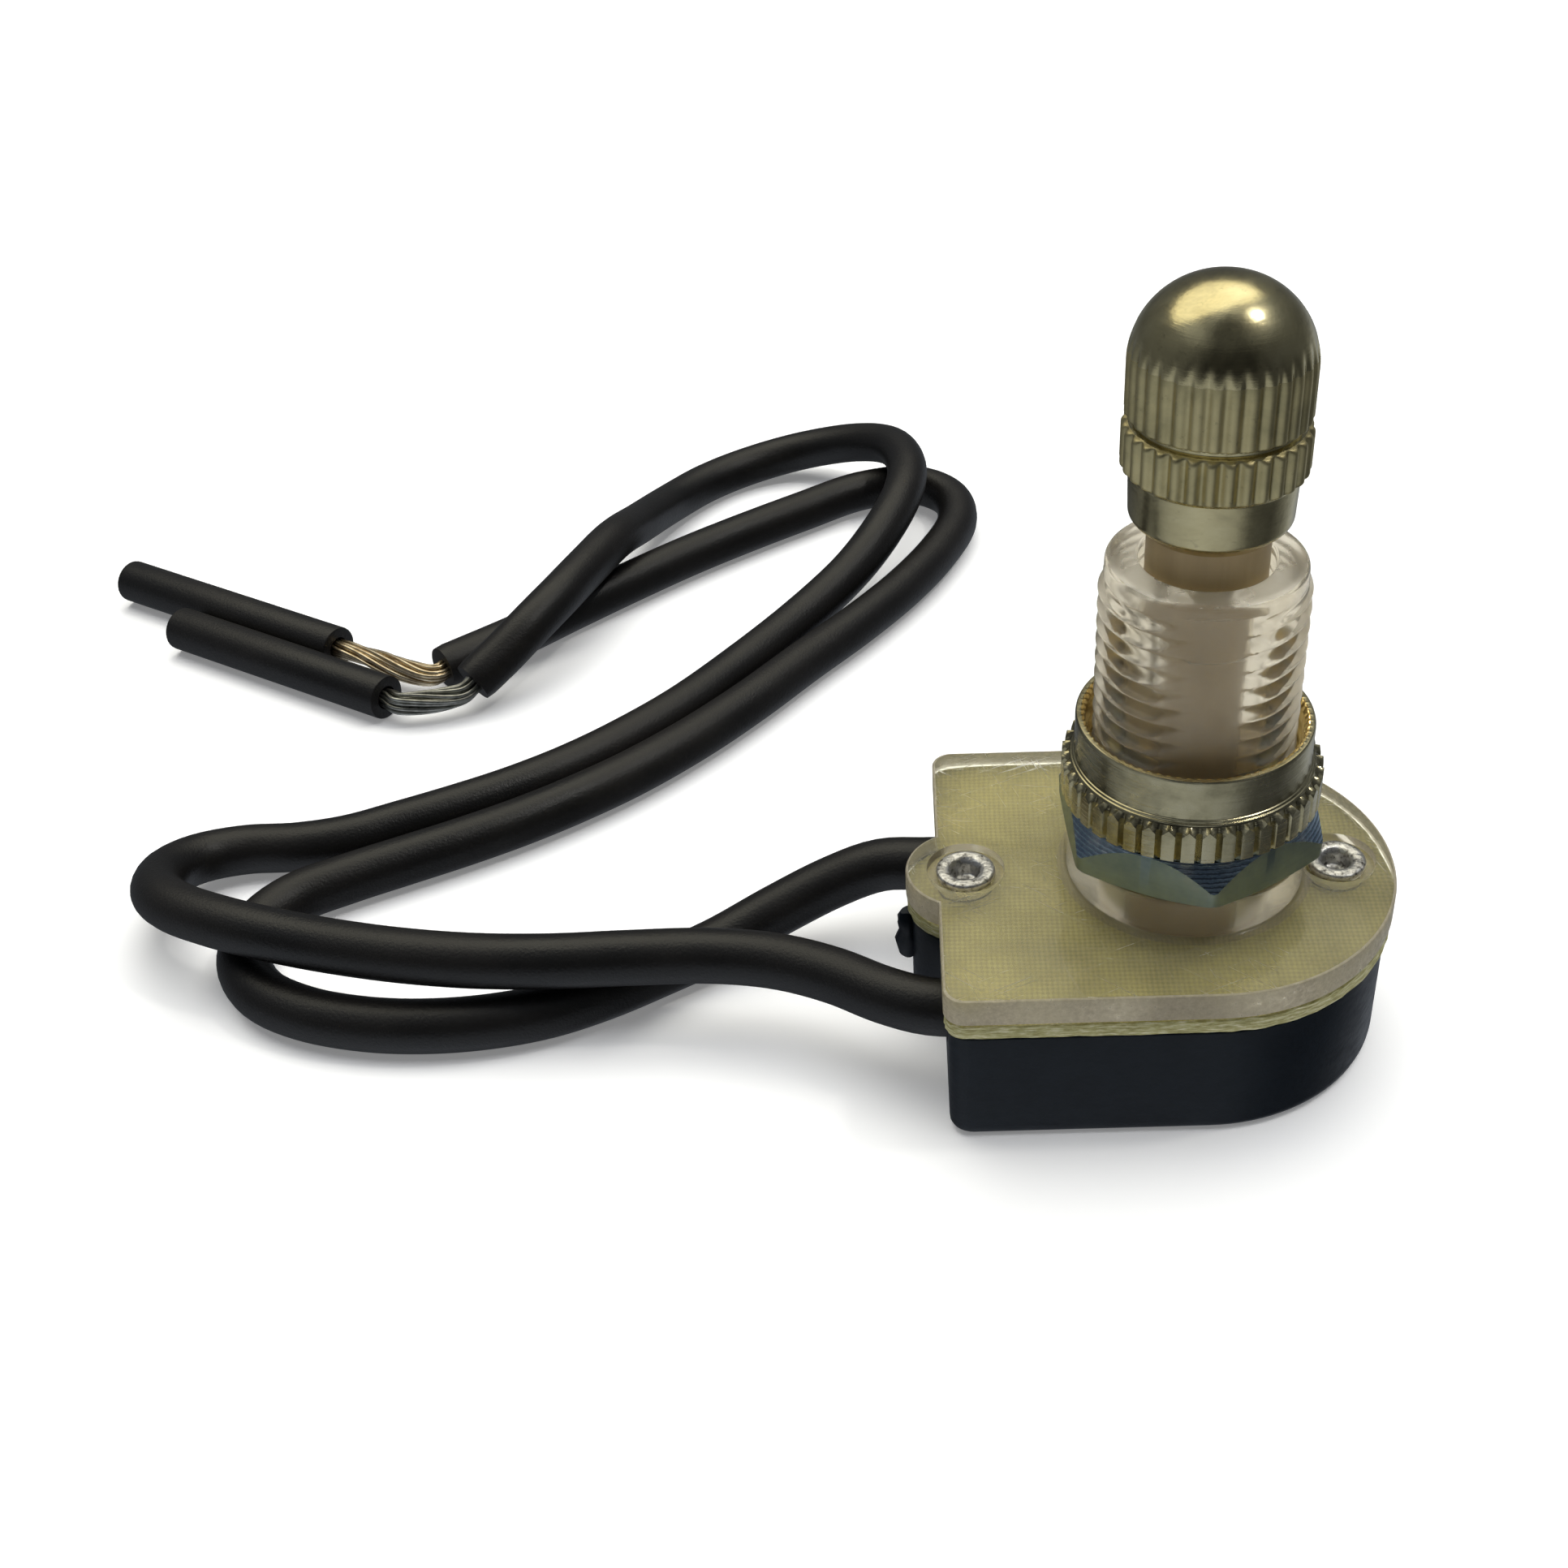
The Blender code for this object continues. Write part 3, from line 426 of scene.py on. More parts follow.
def clear_plastic_plate():
    """Top of the clear plate: hazy and glossy, with fine scratches."""
    look = Look("look_clear_plate", (0.90, 0.88, 0.72), 0.10, Transmission_Weight=0.92, IOR=1.30)
    marked, where = scratches(look)
    look.colour(look.blend(marked, (0.90, 0.87, 0.68), (0.98, 0.97, 0.92)))
    look.roughness(marked, (0.0, 0.09), (1.0, 0.34))
    return look.finish(marked, 0.4, 0.0001, look.bump(where, 0.12, 0.0003))


def clear_plastic_back():
    """Underside of the clear plate: moulded dull."""
    look = Look("look_clear_back", (0.92, 0.90, 0.76), 0.2, Transmission_Weight=0.96, IOR=1.15)
    grain = look.noise(2600.0, 3.0, 0.6)
    look.roughness(grain, (0.3, 0.14), (0.7, 0.26))
    return look.finish(grain, 0.1, 0.00005)


def clear_plastic_edge():
    """Side of the clear plate: frosted, faintly pink, with pale grains whose palest specks are painted
    glints.
    """
    look = Look("look_clear_edge", (0.44, 0.39, 0.29), 0.42, Transmission_Weight=0.45, IOR=1.35)
    grain = look.noise(3600.0, 5.0, 0.68)
    drift = look.noise(320.0, 3.0, 0.5)
    # frosted grain tint; the top stop paints near-white glints on the grains where the roughness is lowest
    grain_with_painted_glints = look.ramp(
        grain, (0.38, (0.34, 0.30, 0.22)), (0.60, (0.48, 0.43, 0.33)), (0.72, (0.92, 0.89, 0.78)))
    look.colour(look.blend(look.ramp(drift, (0.35, 0.0), (0.7, 0.5)), grain_with_painted_glints, (0.46, 0.42, 0.30)))
    look.roughness(grain, (0.4, 0.50), (0.7, 0.22))
    return look.finish(grain, 0.4, 0.0001)


def nickel():
    """Plated rivet: bright, with small dents and grime in the pits."""
    look = Look("look_nickel", (0.78, 0.77, 0.75), 0.22, 1.0)
    dents = look.noise(1700.0, 4.0, 0.6)
    grime = look.noise(3600.0, 5.0, 0.7)
    look.colour(grime, (0.34, (0.16, 0.15, 0.14)), (0.47, (0.70, 0.69, 0.67)), (0.7, (0.90, 0.90, 0.89)))
    look.roughness(grime, (0.35, 0.55), (0.6, 0.28))
    return look.finish(dents, 0.5, 0.00025)


def zinc_flats():
    """Side of the hex nut: satin grey-green passivated zinc."""
    look = Look("look_zinc_flats", (0.30, 0.35, 0.33), 0.36, 1.0)
    cloud = look.noise(330.0, 4.0, 0.6)
    look.colour(cloud, (0.3, (0.24, 0.30, 0.28)), (0.55, (0.33, 0.39, 0.34)), (0.78, (0.42, 0.45, 0.36)))
    drawn = look.noise(1.0, 4.0, 0.6, look.stretched((500.0, 500.0, 7000.0)))
    look.roughness(drawn, (0.3, 0.40), (0.7, 0.52))
    return look.finish(drawn, 0.12, 0.00005, look.bump(cloud, 0.12, 0.0004))


def zinc_turned():
    """Chamfer and faces of the hex nut: blue zinc over concentric tool marks."""
    look = Look("look_zinc_turned", (0.30, 0.42, 0.55), 0.28, 1.0)
    rings = look.wave(2500.0, "Z", None, 2.2, 5.0, "RINGS")
    cloud = look.noise(520.0, 4.0, 0.6)
    look.colour(cloud, (0.3, (0.22, 0.32, 0.44)), (0.52, (0.36, 0.46, 0.54)), (0.72, (0.74, 0.77, 0.76)))
    look.roughness(rings, (0.2, 0.18), (0.8, 0.38))
    return look.finish(rings, 0.30, 0.00005, look.bump(cloud, 0.2, 0.0002))


def brass(name, light, mid, dark, rough, line_scale, line_strength):
    """Turned brass with tarnish: three tints in clouds, and fine lines round the axis."""
    look = Look(name, mid, 0.25, 1.0)
    cloud = look.noise(300.0, 5.0, 0.62, None, 0.3)
    spots = look.noise(2200.0, 5.0, 0.7)
    tint = look.ramp(cloud, (0.30, dark), (0.50, mid), (0.72, light))
    look.colour(look.blend(look.ramp(spots, (0.60, 0.0), (0.78, 0.6)), tint, tuple(c * 0.35 for c in mid)))
    lines = look.noise(1.0, 3.0, 0.6, look.stretched((260.0, 260.0, line_scale)))
    look.roughness(look.blend(0.5, cloud, lines), (0.35, rough[0]), (0.65, rough[1]))
    return look.finish(lines, line_strength, 0.00005, look.bump(spots, 0.08, 0.0001))


def tan_plastic():
    """Moulded tan shaft: satin, with faint vertical flow marks."""
    look = Look("look_tan_plastic", (0.30, 0.215, 0.095), 0.42)
    flow = look.noise(1.0, 4.0, 0.6, look.stretched((900.0, 900.0, 90.0)))
    look.colour(flow, (0.3, (0.27, 0.19, 0.080)), (0.7, (0.34, 0.245, 0.112)))
    return look.finish(flow, 0.15, 0.0001)


def black_pvc():
    """Extruded insulation: near-black with a brown cast, satin, finely speckled."""
    look = Look("look_black_pvc", (0.006, 0.0055, 0.005), 0.40, Specular_IOR_Level=0.5)
    speck = look.noise(6500.0, 3.0, 0.6)
    drift = look.noise(140.0, 3.0, 0.5)
    look.colour(drift, (0.3, (0.0045, 0.0043, 0.0042)), (0.7, (0.0085, 0.0075, 0.0068)))
    look.roughness(drift, (0.3, 0.34), (0.7, 0.46))
    return look.finish(speck, 0.45, 0.00006, look.bump(drift, 0.2, 0.0006))


def tinned(name, pale, deep, rough):
    """Bare strands: tinned copper, brighter and duller along their length."""
    look = Look(name, pale, rough, 1.0)
    patches = look.noise(1100.0, 4.0, 0.6)
    look.colour(patches, (0.35, deep), (0.62, pale))
    look.roughness(patches, (0.3, rough + 0.12), (0.7, rough - 0.06))
    return look.finish(look.noise(5200.0, 3.0), 0.2, 0.00005)


def drum_plastic():
    """Off-white moulded drum, hidden in the housing."""
    look = Look("look_drum_plastic", (0.72, 0.70, 0.64), 0.5)
    flow = look.noise(500.0, 4.0, 0.6)
    look.colour(flow, (0.3, (0.64, 0.62, 0.56)), (0.7, (0.76, 0.74, 0.69)))
    return look.finish(flow, 0.1, 0.0001)


# ---------------- mesh helpers
def object_from(name, bm, materials, sharp=35.0):
    """A smooth-shaded object from a bmesh; materials are in slot order."""
    bmesh.ops.recalc_face_normals(bm, faces=bm.faces)
    mesh = bpy.data.meshes.new(name)
    bm.to_mesh(mesh)
    bm.free()
    mesh.shade_smooth()
    mesh.set_sharp_from_angle(angle=math.radians(sharp))
    for mat in materials:
        mesh.materials.append(mat)
    return add_object(name, mesh)


def skin_into(bm, rings, closed=False, slots=None):
    """Faces over rings of points; slots gives the material slot of each band of faces."""
    loops = [[bm.verts.new(Vector(point) * MM) for point in ring] for ring in rings]
    count = len(rings[0])
    pairs = list(zip(loops, loops[1:])) + ([(loops[-1], loops[0])] if closed else [])
    for band, (low, high) in enumerate(pairs):
        for i in range(count):
            j = (i + 1) % count
            face = bm.faces.new((low[i], low[j], high[j], high[i]))
            face.material_index = slots[band] if slots else 0
    if not closed:
        bm.faces.new(reversed(loops[0]))
        bm.faces.new(loops[-1])


def skin(name, rings, materials, closed=False, sharp=35.0, slots=None):
    """A solid skinned over rings of points."""
    bm = bmesh.new()
    skin_into(bm, rings, closed, slots)
    return object_from(name, bm, materials, sharp)


def turn_angles(count):
    """Angles of count points all the way round."""
    return [TAU * i / count for i in range(count)]


def level_ring(angles, z, radius_at):
    """A level ring of points; radius_at turns an angle into a radius."""
    ring = []
    for angle in angles:
        radius = radius_at(angle)
        ring.append((radius * math.cos(angle), radius * math.sin(angle), z))
    return ring


def circle(radius, z, count, x=0.0):
    """A level circle of points."""
    return [(x + radius * math.cos(a), radius * math.sin(a), z) for a in turn_angles(count)]


def filleted(corners, steps=4):
    """Profile points (radius, height) with each inner corner's optional third value as its fillet."""
    points = []
    last = len(corners) - 1
    for i, corner in enumerate(corners):
        here = Vector(corner[:2])
        fillet = corner[2] if len(corner) > 2 else 0.0
        if not fillet or i in (0, last):
            points.append(tuple(here))
            continue
        before = Vector(corners[i - 1][:2]) - here
        after = Vector(corners[i + 1][:2]) - here
        start = here + before.normalized() * min(fillet, before.length * 0.49)
        end = here + after.normalized() * min(fillet, after.length * 0.49)
        for k in range(steps + 1):
            t = k / steps
            points.append(tuple(start * (1 - t) ** 2 + here * 2 * t * (1 - t) + end * t * t))
    return points


class Bands:
    """Rings of points in order, each with the material slot of the faces between it and the next."""

    def __init__(self, angles):
        self.angles, self.rings, self.slots = angles, [], []

    def add(self, slot, *rings):
        self.rings += rings
        self.slots += [slot] * len(rings)

    def turn(self, slot, corners):
        """Circles along a profile of (radius, height) corners."""
        for radius, z in filleted(corners):
            self.add(slot, level_ring(self.angles, z, lambda angle: radius))


def arc(centre_x, centre_y, radius, start_deg, end_deg, steps):
    """Points along an arc in plan."""
    angles = (math.radians(start_deg + (end_deg - start_deg) * i / steps) for i in range(steps + 1))
    return [(centre_x + radius * math.cos(a), centre_y + radius * math.sin(a)) for a in angles]


END_STEPS, CORNER_STEPS, EAR_STEPS = 56, 8, 24     # points round the outline's arcs
STRAIGHT_PIECES = {END_STEPS: 16, 65: 9, 90: 9, 99: 16}    # how finely the stretch after a point is cut


def outline(inset):
    """The housing's outline in plan, set in by inset: the same number of points for every inset."""
    half, left, ear = HALF_WIDTH - inset, LEFT_X + inset, EAR_R - inset
    reach = math.degrees(math.acos((EAR_X - left) / ear))
    points = arc(ROUND_X, 0.0, half, -90, 90, END_STEPS)
    points += arc(left + CORNER_R, half - CORNER_R, CORNER_R, 90, 180, CORNER_STEPS)
    points += arc(EAR_X, 0.0, ear, 180 - reach, 180 + reach, EAR_STEPS)
    points += arc(left + CORNER_R, CORNER_R - half, CORNER_R, 180, 270, CORNER_STEPS)
    dense = []
    for i, (x, y) in enumerate(points):
        next_x, next_y = points[(i + 1) % len(points)]
        pieces = STRAIGHT_PIECES.get(i, 1)
        dense += [(x + (next_x - x) * k / pieces, y + (next_y - y) * k / pieces) for k in range(pieces)]
    return dense


OUTLINE_ANGLES = [math.atan2(y, x) for x, y in outline(0.0)]


def plan_ring(inset, z, wobble=0.0):
    """The outline as a ring; wobble roughens it for a punched edge."""
    ring = []
    for i, (x, y) in enumerate(outline(inset)):
        rough = wobble * (math.sin(i * 12.9898 + z * 78.233) * 43758.5453 % 1.0 - 0.5)
        length = math.hypot(x, y)
        ring.append((x * (1 + rough / length), y * (1 + rough / length), z))
    return ring


def cut(obj, tools, sharp=35.0):
    """Cut tools out of the object and remove them."""
    for tool in tools:
        boolean = obj.modifiers.new(tool.name, "BOOLEAN")
        boolean.operation = "DIFFERENCE"
        boolean.solver = "EXACT"
        boolean.object = tool
    depsgraph = bpy.context.evaluated_depsgraph_get()
    mesh = bpy.data.meshes.new_from_object(obj.evaluated_get(depsgraph))
    obj.modifiers.clear()
    obj.data = mesh
    for tool in tools:
        bpy.data.objects.remove(tool)
    mesh.shade_smooth()
    mesh.set_sharp_from_angle(angle=math.radians(sharp))


def drill(name, corners, x=0.0, count=64):
    """A turned cutting tool, with one empty slot so that cut faces take the first material."""
    return skin(name, [circle(r, z, count, x) for r, z in corners], [None])


def box(name, low, high):
    """A box-shaped cutting tool."""
    corners = [(low[0], low[1]), (high[0], low[1]), (high[0], high[1]), (low[0], high[1])]
    return skin(name, [[(x, y, z) for x, y in corners] for z in (low[2], high[2])], [None])


def stand_for(obj, node, body):
    """The piece replaces a CAD node, which it hides, and rides on its body."""
    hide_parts(node)
    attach(obj, body)


# ---------------- housing, sheet and cover
def make_housing(mat):
    """The moulded base with its pocket, slots and rivet holes."""
    levels = filleted([(3.0, 0.0), (0.0, 0.0, 0.75), (0.0, HOUSING_TOP, 0.12), (0.6, HOUSING_TOP)], 6)
    rings = [plan_ring(HOUSING_INSET + depth, z) for depth, z in levels[1:-1]]
    housing = skin("housing_moulding", rings, [mat])
    above, below = HOUSING_TOP + 1.0, -1.0
    tools = [drill("tool_chamber", [(CHAMBER_R, FLOOR_Z), (CHAMBER_R, above)], 0.0, 96)]
    tools.append(box("tool_cross", (-8.2, -5.0, FLOOR_Z), (-1.0, 5.0, above)))
    for side in (-1, 1):
        low, high = sorted((side * CHANNEL_INNER_Y, side * CHANNEL_OUTER_Y))
        tools.append(box("tool_channel", (-10.8, low, FLOOR_Z), (5.6, high, above)))
        middle = side * LEAD_Y
        slot = [(middle - SLOT_R, above)] + arc(middle, LEAD_Z, SLOT_R, 180, 360, 24)
        slot.append((middle + SLOT_R, above))
        tools.append(skin("tool_slot", [[(x, y, z) for y, z in slot] for x in (-14.0, -10.0)], [None]))
    for x in RIVET_XS.values():
        tools.append(drill("tool_rivet", [(RIVET_HOLE_R, below), (RIVET_HOLE_R, above)], x))
        tools.append(drill("tool_tail", [(TAIL_RECESS_R, below), (TAIL_RECESS_R, TAIL_RECESS_DEPTH)], x))
    cut(housing, tools)
    stand_for(housing, "base_housing", "housing")


def make_gate_stub(mat):
    """The rough stub left on the base's ear where the moulding was broken from its runner."""
    x, y = EAR_X - EAR_R + 0.05, 0.1
    levels = ((0.30, 3.5), (0.58, 3.9), (0.62, 4.7), (0.44, 5.3), (0.60, 5.9), (0.36, 6.5))
    rings = []
    for k, (radius, z) in enumerate(levels):
        ring = []
        for angle in turn_angles(18):
            rough = 1.0 + 0.13 * math.sin(3.0 * angle + 1.9 * k) + 0.07 * math.sin(5.0 * angle - k)
            reach = radius * rough
            ring.append((x + reach * math.cos(angle), y + 0.9 * reach * math.sin(angle), z))
        rings.append(ring)
    stub = skin("gate_stub", rings, [mat], False, 50.0)
    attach(stub, "housing")


def make_sheet(face_mat, edge_mat):
    """The glass-epoxy insulator, with a rough punched edge."""
    flat, rough = 0.0, 0.09
    levels = [
        (0.45, SHEET_BOTTOM, flat), (0.16, SHEET_BOTTOM, rough), (0.10, SHEET_BOTTOM + 0.08, rough),
        (0.07, 7.1, rough), (0.08, 7.3, rough), (0.1, SHEET_TOP - 0.05, rough), (0.17, SHEET_TOP, rough),
        (0.45, SHEET_TOP, flat),
    ]
    face, edge = 0, 1
    slots = [edge] * (len(levels) - 2) + [face]
    rings = [plan_ring(*level) for level in levels]
    sheet = skin("insulator", rings, [face_mat, edge_mat], False, 35.0, slots)
    below, above = SHEET_BOTTOM - 0.8, SHEET_TOP + 0.4
    tools = [drill("tool_hole", [(3.1, below), (3.1, above)])]
    for x in RIVET_XS.values():
        tools.append(drill("tool_rivet", [(RIVET_HOLE_R, below), (RIVET_HOLE_R, above)], x))
    cut(sheet, tools)
    stand_for(sheet, "insulator_sheet", "housing")


def smooth(t):
    """An S-shaped step from 0 to 1."""
    t = max(0.0, min(1.0, t))
    return t * t * (3.0 - 2.0 * t)


def thread_radius(angle, z, root, crest):
    """Radius of a right-hand thread's surface: broad rounded crests and sharp roots."""
    phase = (z / THREAD_PITCH - angle / TAU) % 1.0
    height = 1.0 - abs(2.0 * phase - 1.0)
    return root + (crest - root) * (0.5 * math.sin(0.5 * math.pi * height) + 0.5 * smooth(height))


def thread_ring(z, depth):
    """One level of the bushing's thread, cut to a share of its depth, with relief flats front and back."""
    def radius_at(angle):
        return NECK_R + (thread_radius(angle, z, THREAD_ROOT, THREAD_CREST) - NECK_R) * depth

    ring = level_ring(OUTLINE_ANGLES, z, radius_at)
    return [(x, max(-THREAD_FLAT_Y, min(THREAD_FLAT_Y, y)), height) for x, y, height in ring]


def make_cover(materials):
    """The clear moulding: plate, collar, threaded bushing and stepped bore."""
    smooth_slot, plate, edge, back, mouth = range(5)
    bands = Bands(OUTLINE_ANGLES)
    bands.turn(back, [(BORE_R, PLATE_BOTTOM)])
    for depth, z in (
        (0.12, PLATE_BOTTOM), (0.03, PLATE_BOTTOM + 0.04), (0.0, PLATE_BOTTOM + 0.13),
        (0.0, PLATE_TOP - 0.14), (0.04, PLATE_TOP - 0.04),
    ):
        bands.add(edge, plan_ring(depth, z))
    bands.add(plate, plan_ring(0.14, PLATE_TOP))
    bands.turn(smooth_slot, [
        (6.4, PLATE_TOP), (COLLAR_R, PLATE_TOP, 0.18), (COLLAR_R, COLLAR_TOP, 0.2), (4.9, COLLAR_TOP),
    ])
    levels_per_turn, bottom, top, run_out = 12, COLLAR_TOP + 0.05, 26.35, 0.7
    levels = int((top - bottom) / THREAD_PITCH * levels_per_turn)
    for k in range(levels + 1):
        z = bottom + (top - bottom) * k / levels
        bands.add(smooth_slot, thread_ring(z, smooth((top - z) / run_out)))
    neck_and_bore = [
        (NECK_R, top + 0.1), (NECK_R - 0.02, BUSHING_TOP, 0.5), (BORE_TOP_R, BUSHING_TOP, 0.16),
        (BORE_TOP_R, BORE_STEP_Z, 0.08), (BORE_R, BORE_STEP_Z - 0.06, 0.04), (BORE_R, PLATE_BOTTOM + 0.25),
    ]
    for radius, z in filleted(neck_and_bore, 6):
        slot = mouth if z > BUSHING_TOP - 0.1 else smooth_slot
        bands.add(slot, level_ring(OUTLINE_ANGLES, z, lambda angle: radius))
    cover = skin("clear_cover", bands.rings, materials, True, 40.0, bands.slots)
    above = PLATE_TOP + 0.72
    tools = []
    for x in RIVET_XS.values():
        tools.append(drill("tool_rivet", [(RIVET_HOLE_R, PLATE_BOTTOM - 0.75), (RIVET_HOLE_R, above)], x))
        tools.append(drill("tool_recess", [(1.96, PLATE_TOP - 0.45), (2.0, above)], x))
    cut(cover, tools, 40.0)
    stand_for(cover, "bushing_cover", "housing")


def make_rivets(mat):
    """Tubular rivets: a rolled head in the plate's recess, and a flared tail, each hollow to a floor."""
    head, tail = PLATE_TOP - 0.35, 0.8
    profile = filleted([
        (0.05, 1.9), (0.85, 1.9, 0.2), (1.0, 0.7, 0.3), (1.3, 0.16, 0.1), (1.7, 0.15, 0.1), (1.9, 0.3, 0.1),
        (1.9, tail, 0.1), (RIVET_BARREL_R, tail, 0.05), (RIVET_BARREL_R, head, 0.05), (1.48, head, 0.05),
        (1.52, head + 0.26, 0.12), (1.30, head + 0.36, 0.16), (0.92, head + 0.34, 0.14),
        (0.68, head + 0.10, 0.12), (0.60, head - 0.5, 0.1), (0.30, head - 0.58, 0.1), (0.05, head - 0.5),
    ])
    for end, x in RIVET_XS.items():
        rivet = skin("rivet_tube_" + end, [circle(radius, z, 96, x) for radius, z in profile], [mat])
        stand_for(rivet, "rivet_" + end, "housing")


# ---------------- nuts
def nut_thread(angles, low, high, root, crest):
    """Levels of an internal thread, top to bottom: root is the groove, crest the ridge nearest the axis."""
    levels = int((high - low) / THREAD_PITCH * 8)
    heights = [high - (high - low) * k / levels for k in range(levels + 1)]
    return [level_ring(angles, z, lambda angle: thread_radius(angle, z, crest, root)) for z in heights]


def hex_ring(z, corner_r, chamfer_from, slope):
    """A level of the hexagon, with a corner near the front; past chamfer_from it drops along a cone."""
    sixth = math.pi / 3.0
    ring = []
    for angle in turn_angles(HEX_POINTS):
        off_flat = (angle - HEX_TURN + sixth / 2.0) % sixth - sixth / 2.0
        reach = min(HEX_FLATS / 2.0 / math.cos(off_flat), corner_r)
        drop = max(0.0, reach - chamfer_from) * slope
        ring.append((reach * math.cos(angle), reach * math.sin(angle), z - drop))
    return ring


def make_hex_nut(flats, turned):
    """The jam nut: flats, cone chamfer with tool marks, threaded bore."""
    flat, round_part = 0, 1
    bands = Bands(turn_angles(HEX_POINTS))
    bands.turn(round_part, [(NUT_GROOVE_R, HEX_BOTTOM), (5.75, HEX_BOTTOM)])
    bands.add(flat, hex_ring(HEX_BOTTOM + 0.05, 6.80, 5.95, -0.35))
    bands.add(round_part, hex_ring(HEX_TOP - 0.06, 6.86, 6.02, 1.42))
    bands.turn(round_part, [(5.98, HEX_TOP - 0.02), (5.90, HEX_TOP), (5.42, HEX_TOP)])
    thread = nut_thread(bands.angles, HEX_BOTTOM + 0.25, HEX_TOP - 0.25, NUT_GROOVE_R, 5.1)
    bands.add(round_part, *thread)
    nut = skin("jam_nut", bands.rings, [flats, turned], True, 28.0, bands.slots)
    stand_for(nut, "hex_nut", "hex_nut")


def toothed_ring(z, crest, fall=0.0, cap=math.inf):
    """One level of the ring nut's ridges, flat-topped with V-shaped gaps and cut back to cap.

    fall drops the level from the middle of each ridge to its gaps, like a gable.
    """
    ring = []
    for i, angle in enumerate(turn_angles(RING_TEETH * POINTS_PER_TOOTH)):
        aside = abs(2.0 * (i % POINTS_PER_TOOTH) / POINTS_PER_TOOTH - 1.0)
        share = max(0.0, min(1.0, (0.98 - aside) / 0.32))
        radius = min(RING_GAP_R + (crest - RING_GAP_R) * share, cap)
        ring.append((radius * math.cos(angle), radius * math.sin(angle), z - fall * aside))
    return ring


def make_ring_nut(mat, bright_mat):
    """The knurled ring nut: V-cut band with gabled ridges, two fine steps, plain collar, bright rim."""
    plain, bright = 0, 1
    bands = Bands(turn_angles(RING_TEETH * POINTS_PER_TOOTH))
    bands.turn(plain, [(5.3, RING_BOTTOM), (5.75, RING_BOTTOM)])
    bands.add(
        plain, toothed_ring(RING_BOTTOM + 0.02, RING_RIDGE_R, 0.0, 6.1),
        toothed_ring(RING_BOTTOM + 0.14, RING_RIDGE_R), toothed_ring(14.9, RING_RIDGE_R),
        toothed_ring(16.0, RING_RIDGE_R, 0.46), toothed_ring(16.04, 6.16, 0.26),
    )
    bands.turn(plain, [
        (5.97, 16.06), (5.94, 16.1), (5.92, 16.18, 0.03), (5.82, 16.21, 0.03), (5.82, 16.30, 0.03),
        (RING_COLLAR_R, 16.34, 0.03), (RING_COLLAR_R, RING_TOP, 0.24), (5.47, RING_TOP - 0.02),
    ])
    for k, (radius, z) in enumerate([(5.44, 18.44), (5.38, 18.42), (5.30, 18.36), (5.22, 18.24)]):
        rim = circle(radius, z, RING_TEETH * POINTS_PER_TOOTH)
        bands.add(bright, [(x, y, h + 0.045 * math.sin(i * 0.9 + k)) for i, (x, y, h) in enumerate(rim)])
    bands.add(bright, *nut_thread(bands.angles, 14.3, 18.1, NUT_GROOVE_R, 5.08))
    nut = skin("knurled_ring", bands.rings, [mat, bright_mat], True, 24.0, bands.slots)
    stand_for(nut, "ring_nut", "ring_nut")


# ---------------- shaft and knob
def make_shaft(mat):
    """The tan shaft with its flange, tang and spigot."""
    bands = Bands(turn_angles(96))
    tang = ((TANG_HALF - 0.1, TANG_BOTTOM), (TANG_HALF, TANG_BOTTOM + 0.1), (TANG_HALF, FLANGE_BOTTOM))
    for half, z in tang:
        def square(angle):
            reach = half / max(abs(math.cos(angle)), abs(math.sin(angle)))
            return min(reach, half * 1.36)

        bands.add(0, level_ring(bands.angles, z, square))
    bands.turn(0, [
        (3.0, FLANGE_BOTTOM), (FLANGE_R, FLANGE_BOTTOM, 0.1), (FLANGE_R, FLANGE_TOP, 0.1),
        (SHAFT_R, FLANGE_TOP, 0.08), (SHAFT_R, SHOULDER_Z, 0.2), (SPIGOT_R, SHOULDER_Z, 0.08),
        (SPIGOT_R, SHAFT_TOP, 0.3), (1.2, SHAFT_TOP),
    ])
    shaft = skin("shaft_moulding", bands.rings, [mat])
    stand_for(shaft, "shaft", "rotor")


def flute_ring(z, crest, depth):
    """A level of soft flutes: broad rounded ridges with narrow valleys."""
    def radius_at(angle):
        return crest - depth * (0.5 - 0.5 * math.cos(KNOB_FLUTES * angle)) ** 1.6

    return level_ring(turn_angles(KNOB_POINTS), z, radius_at)


def rounded_ends(start, direction, crest, depth, least_depth, rounding, steps):
    """Flute rings that round the ridges' ends, from start up (direction 1) or down (-1)."""
    rings = []
    for k in range(steps + 1):
        sweep = 0.5 * math.pi * k / steps
        drop = rounding * (1.0 - math.sin(sweep))
        z = start + direction * rounding * (1.0 - math.cos(sweep))
        rings.append(flute_ring(z, crest - drop, max(least_depth, depth - drop)))
    return rings


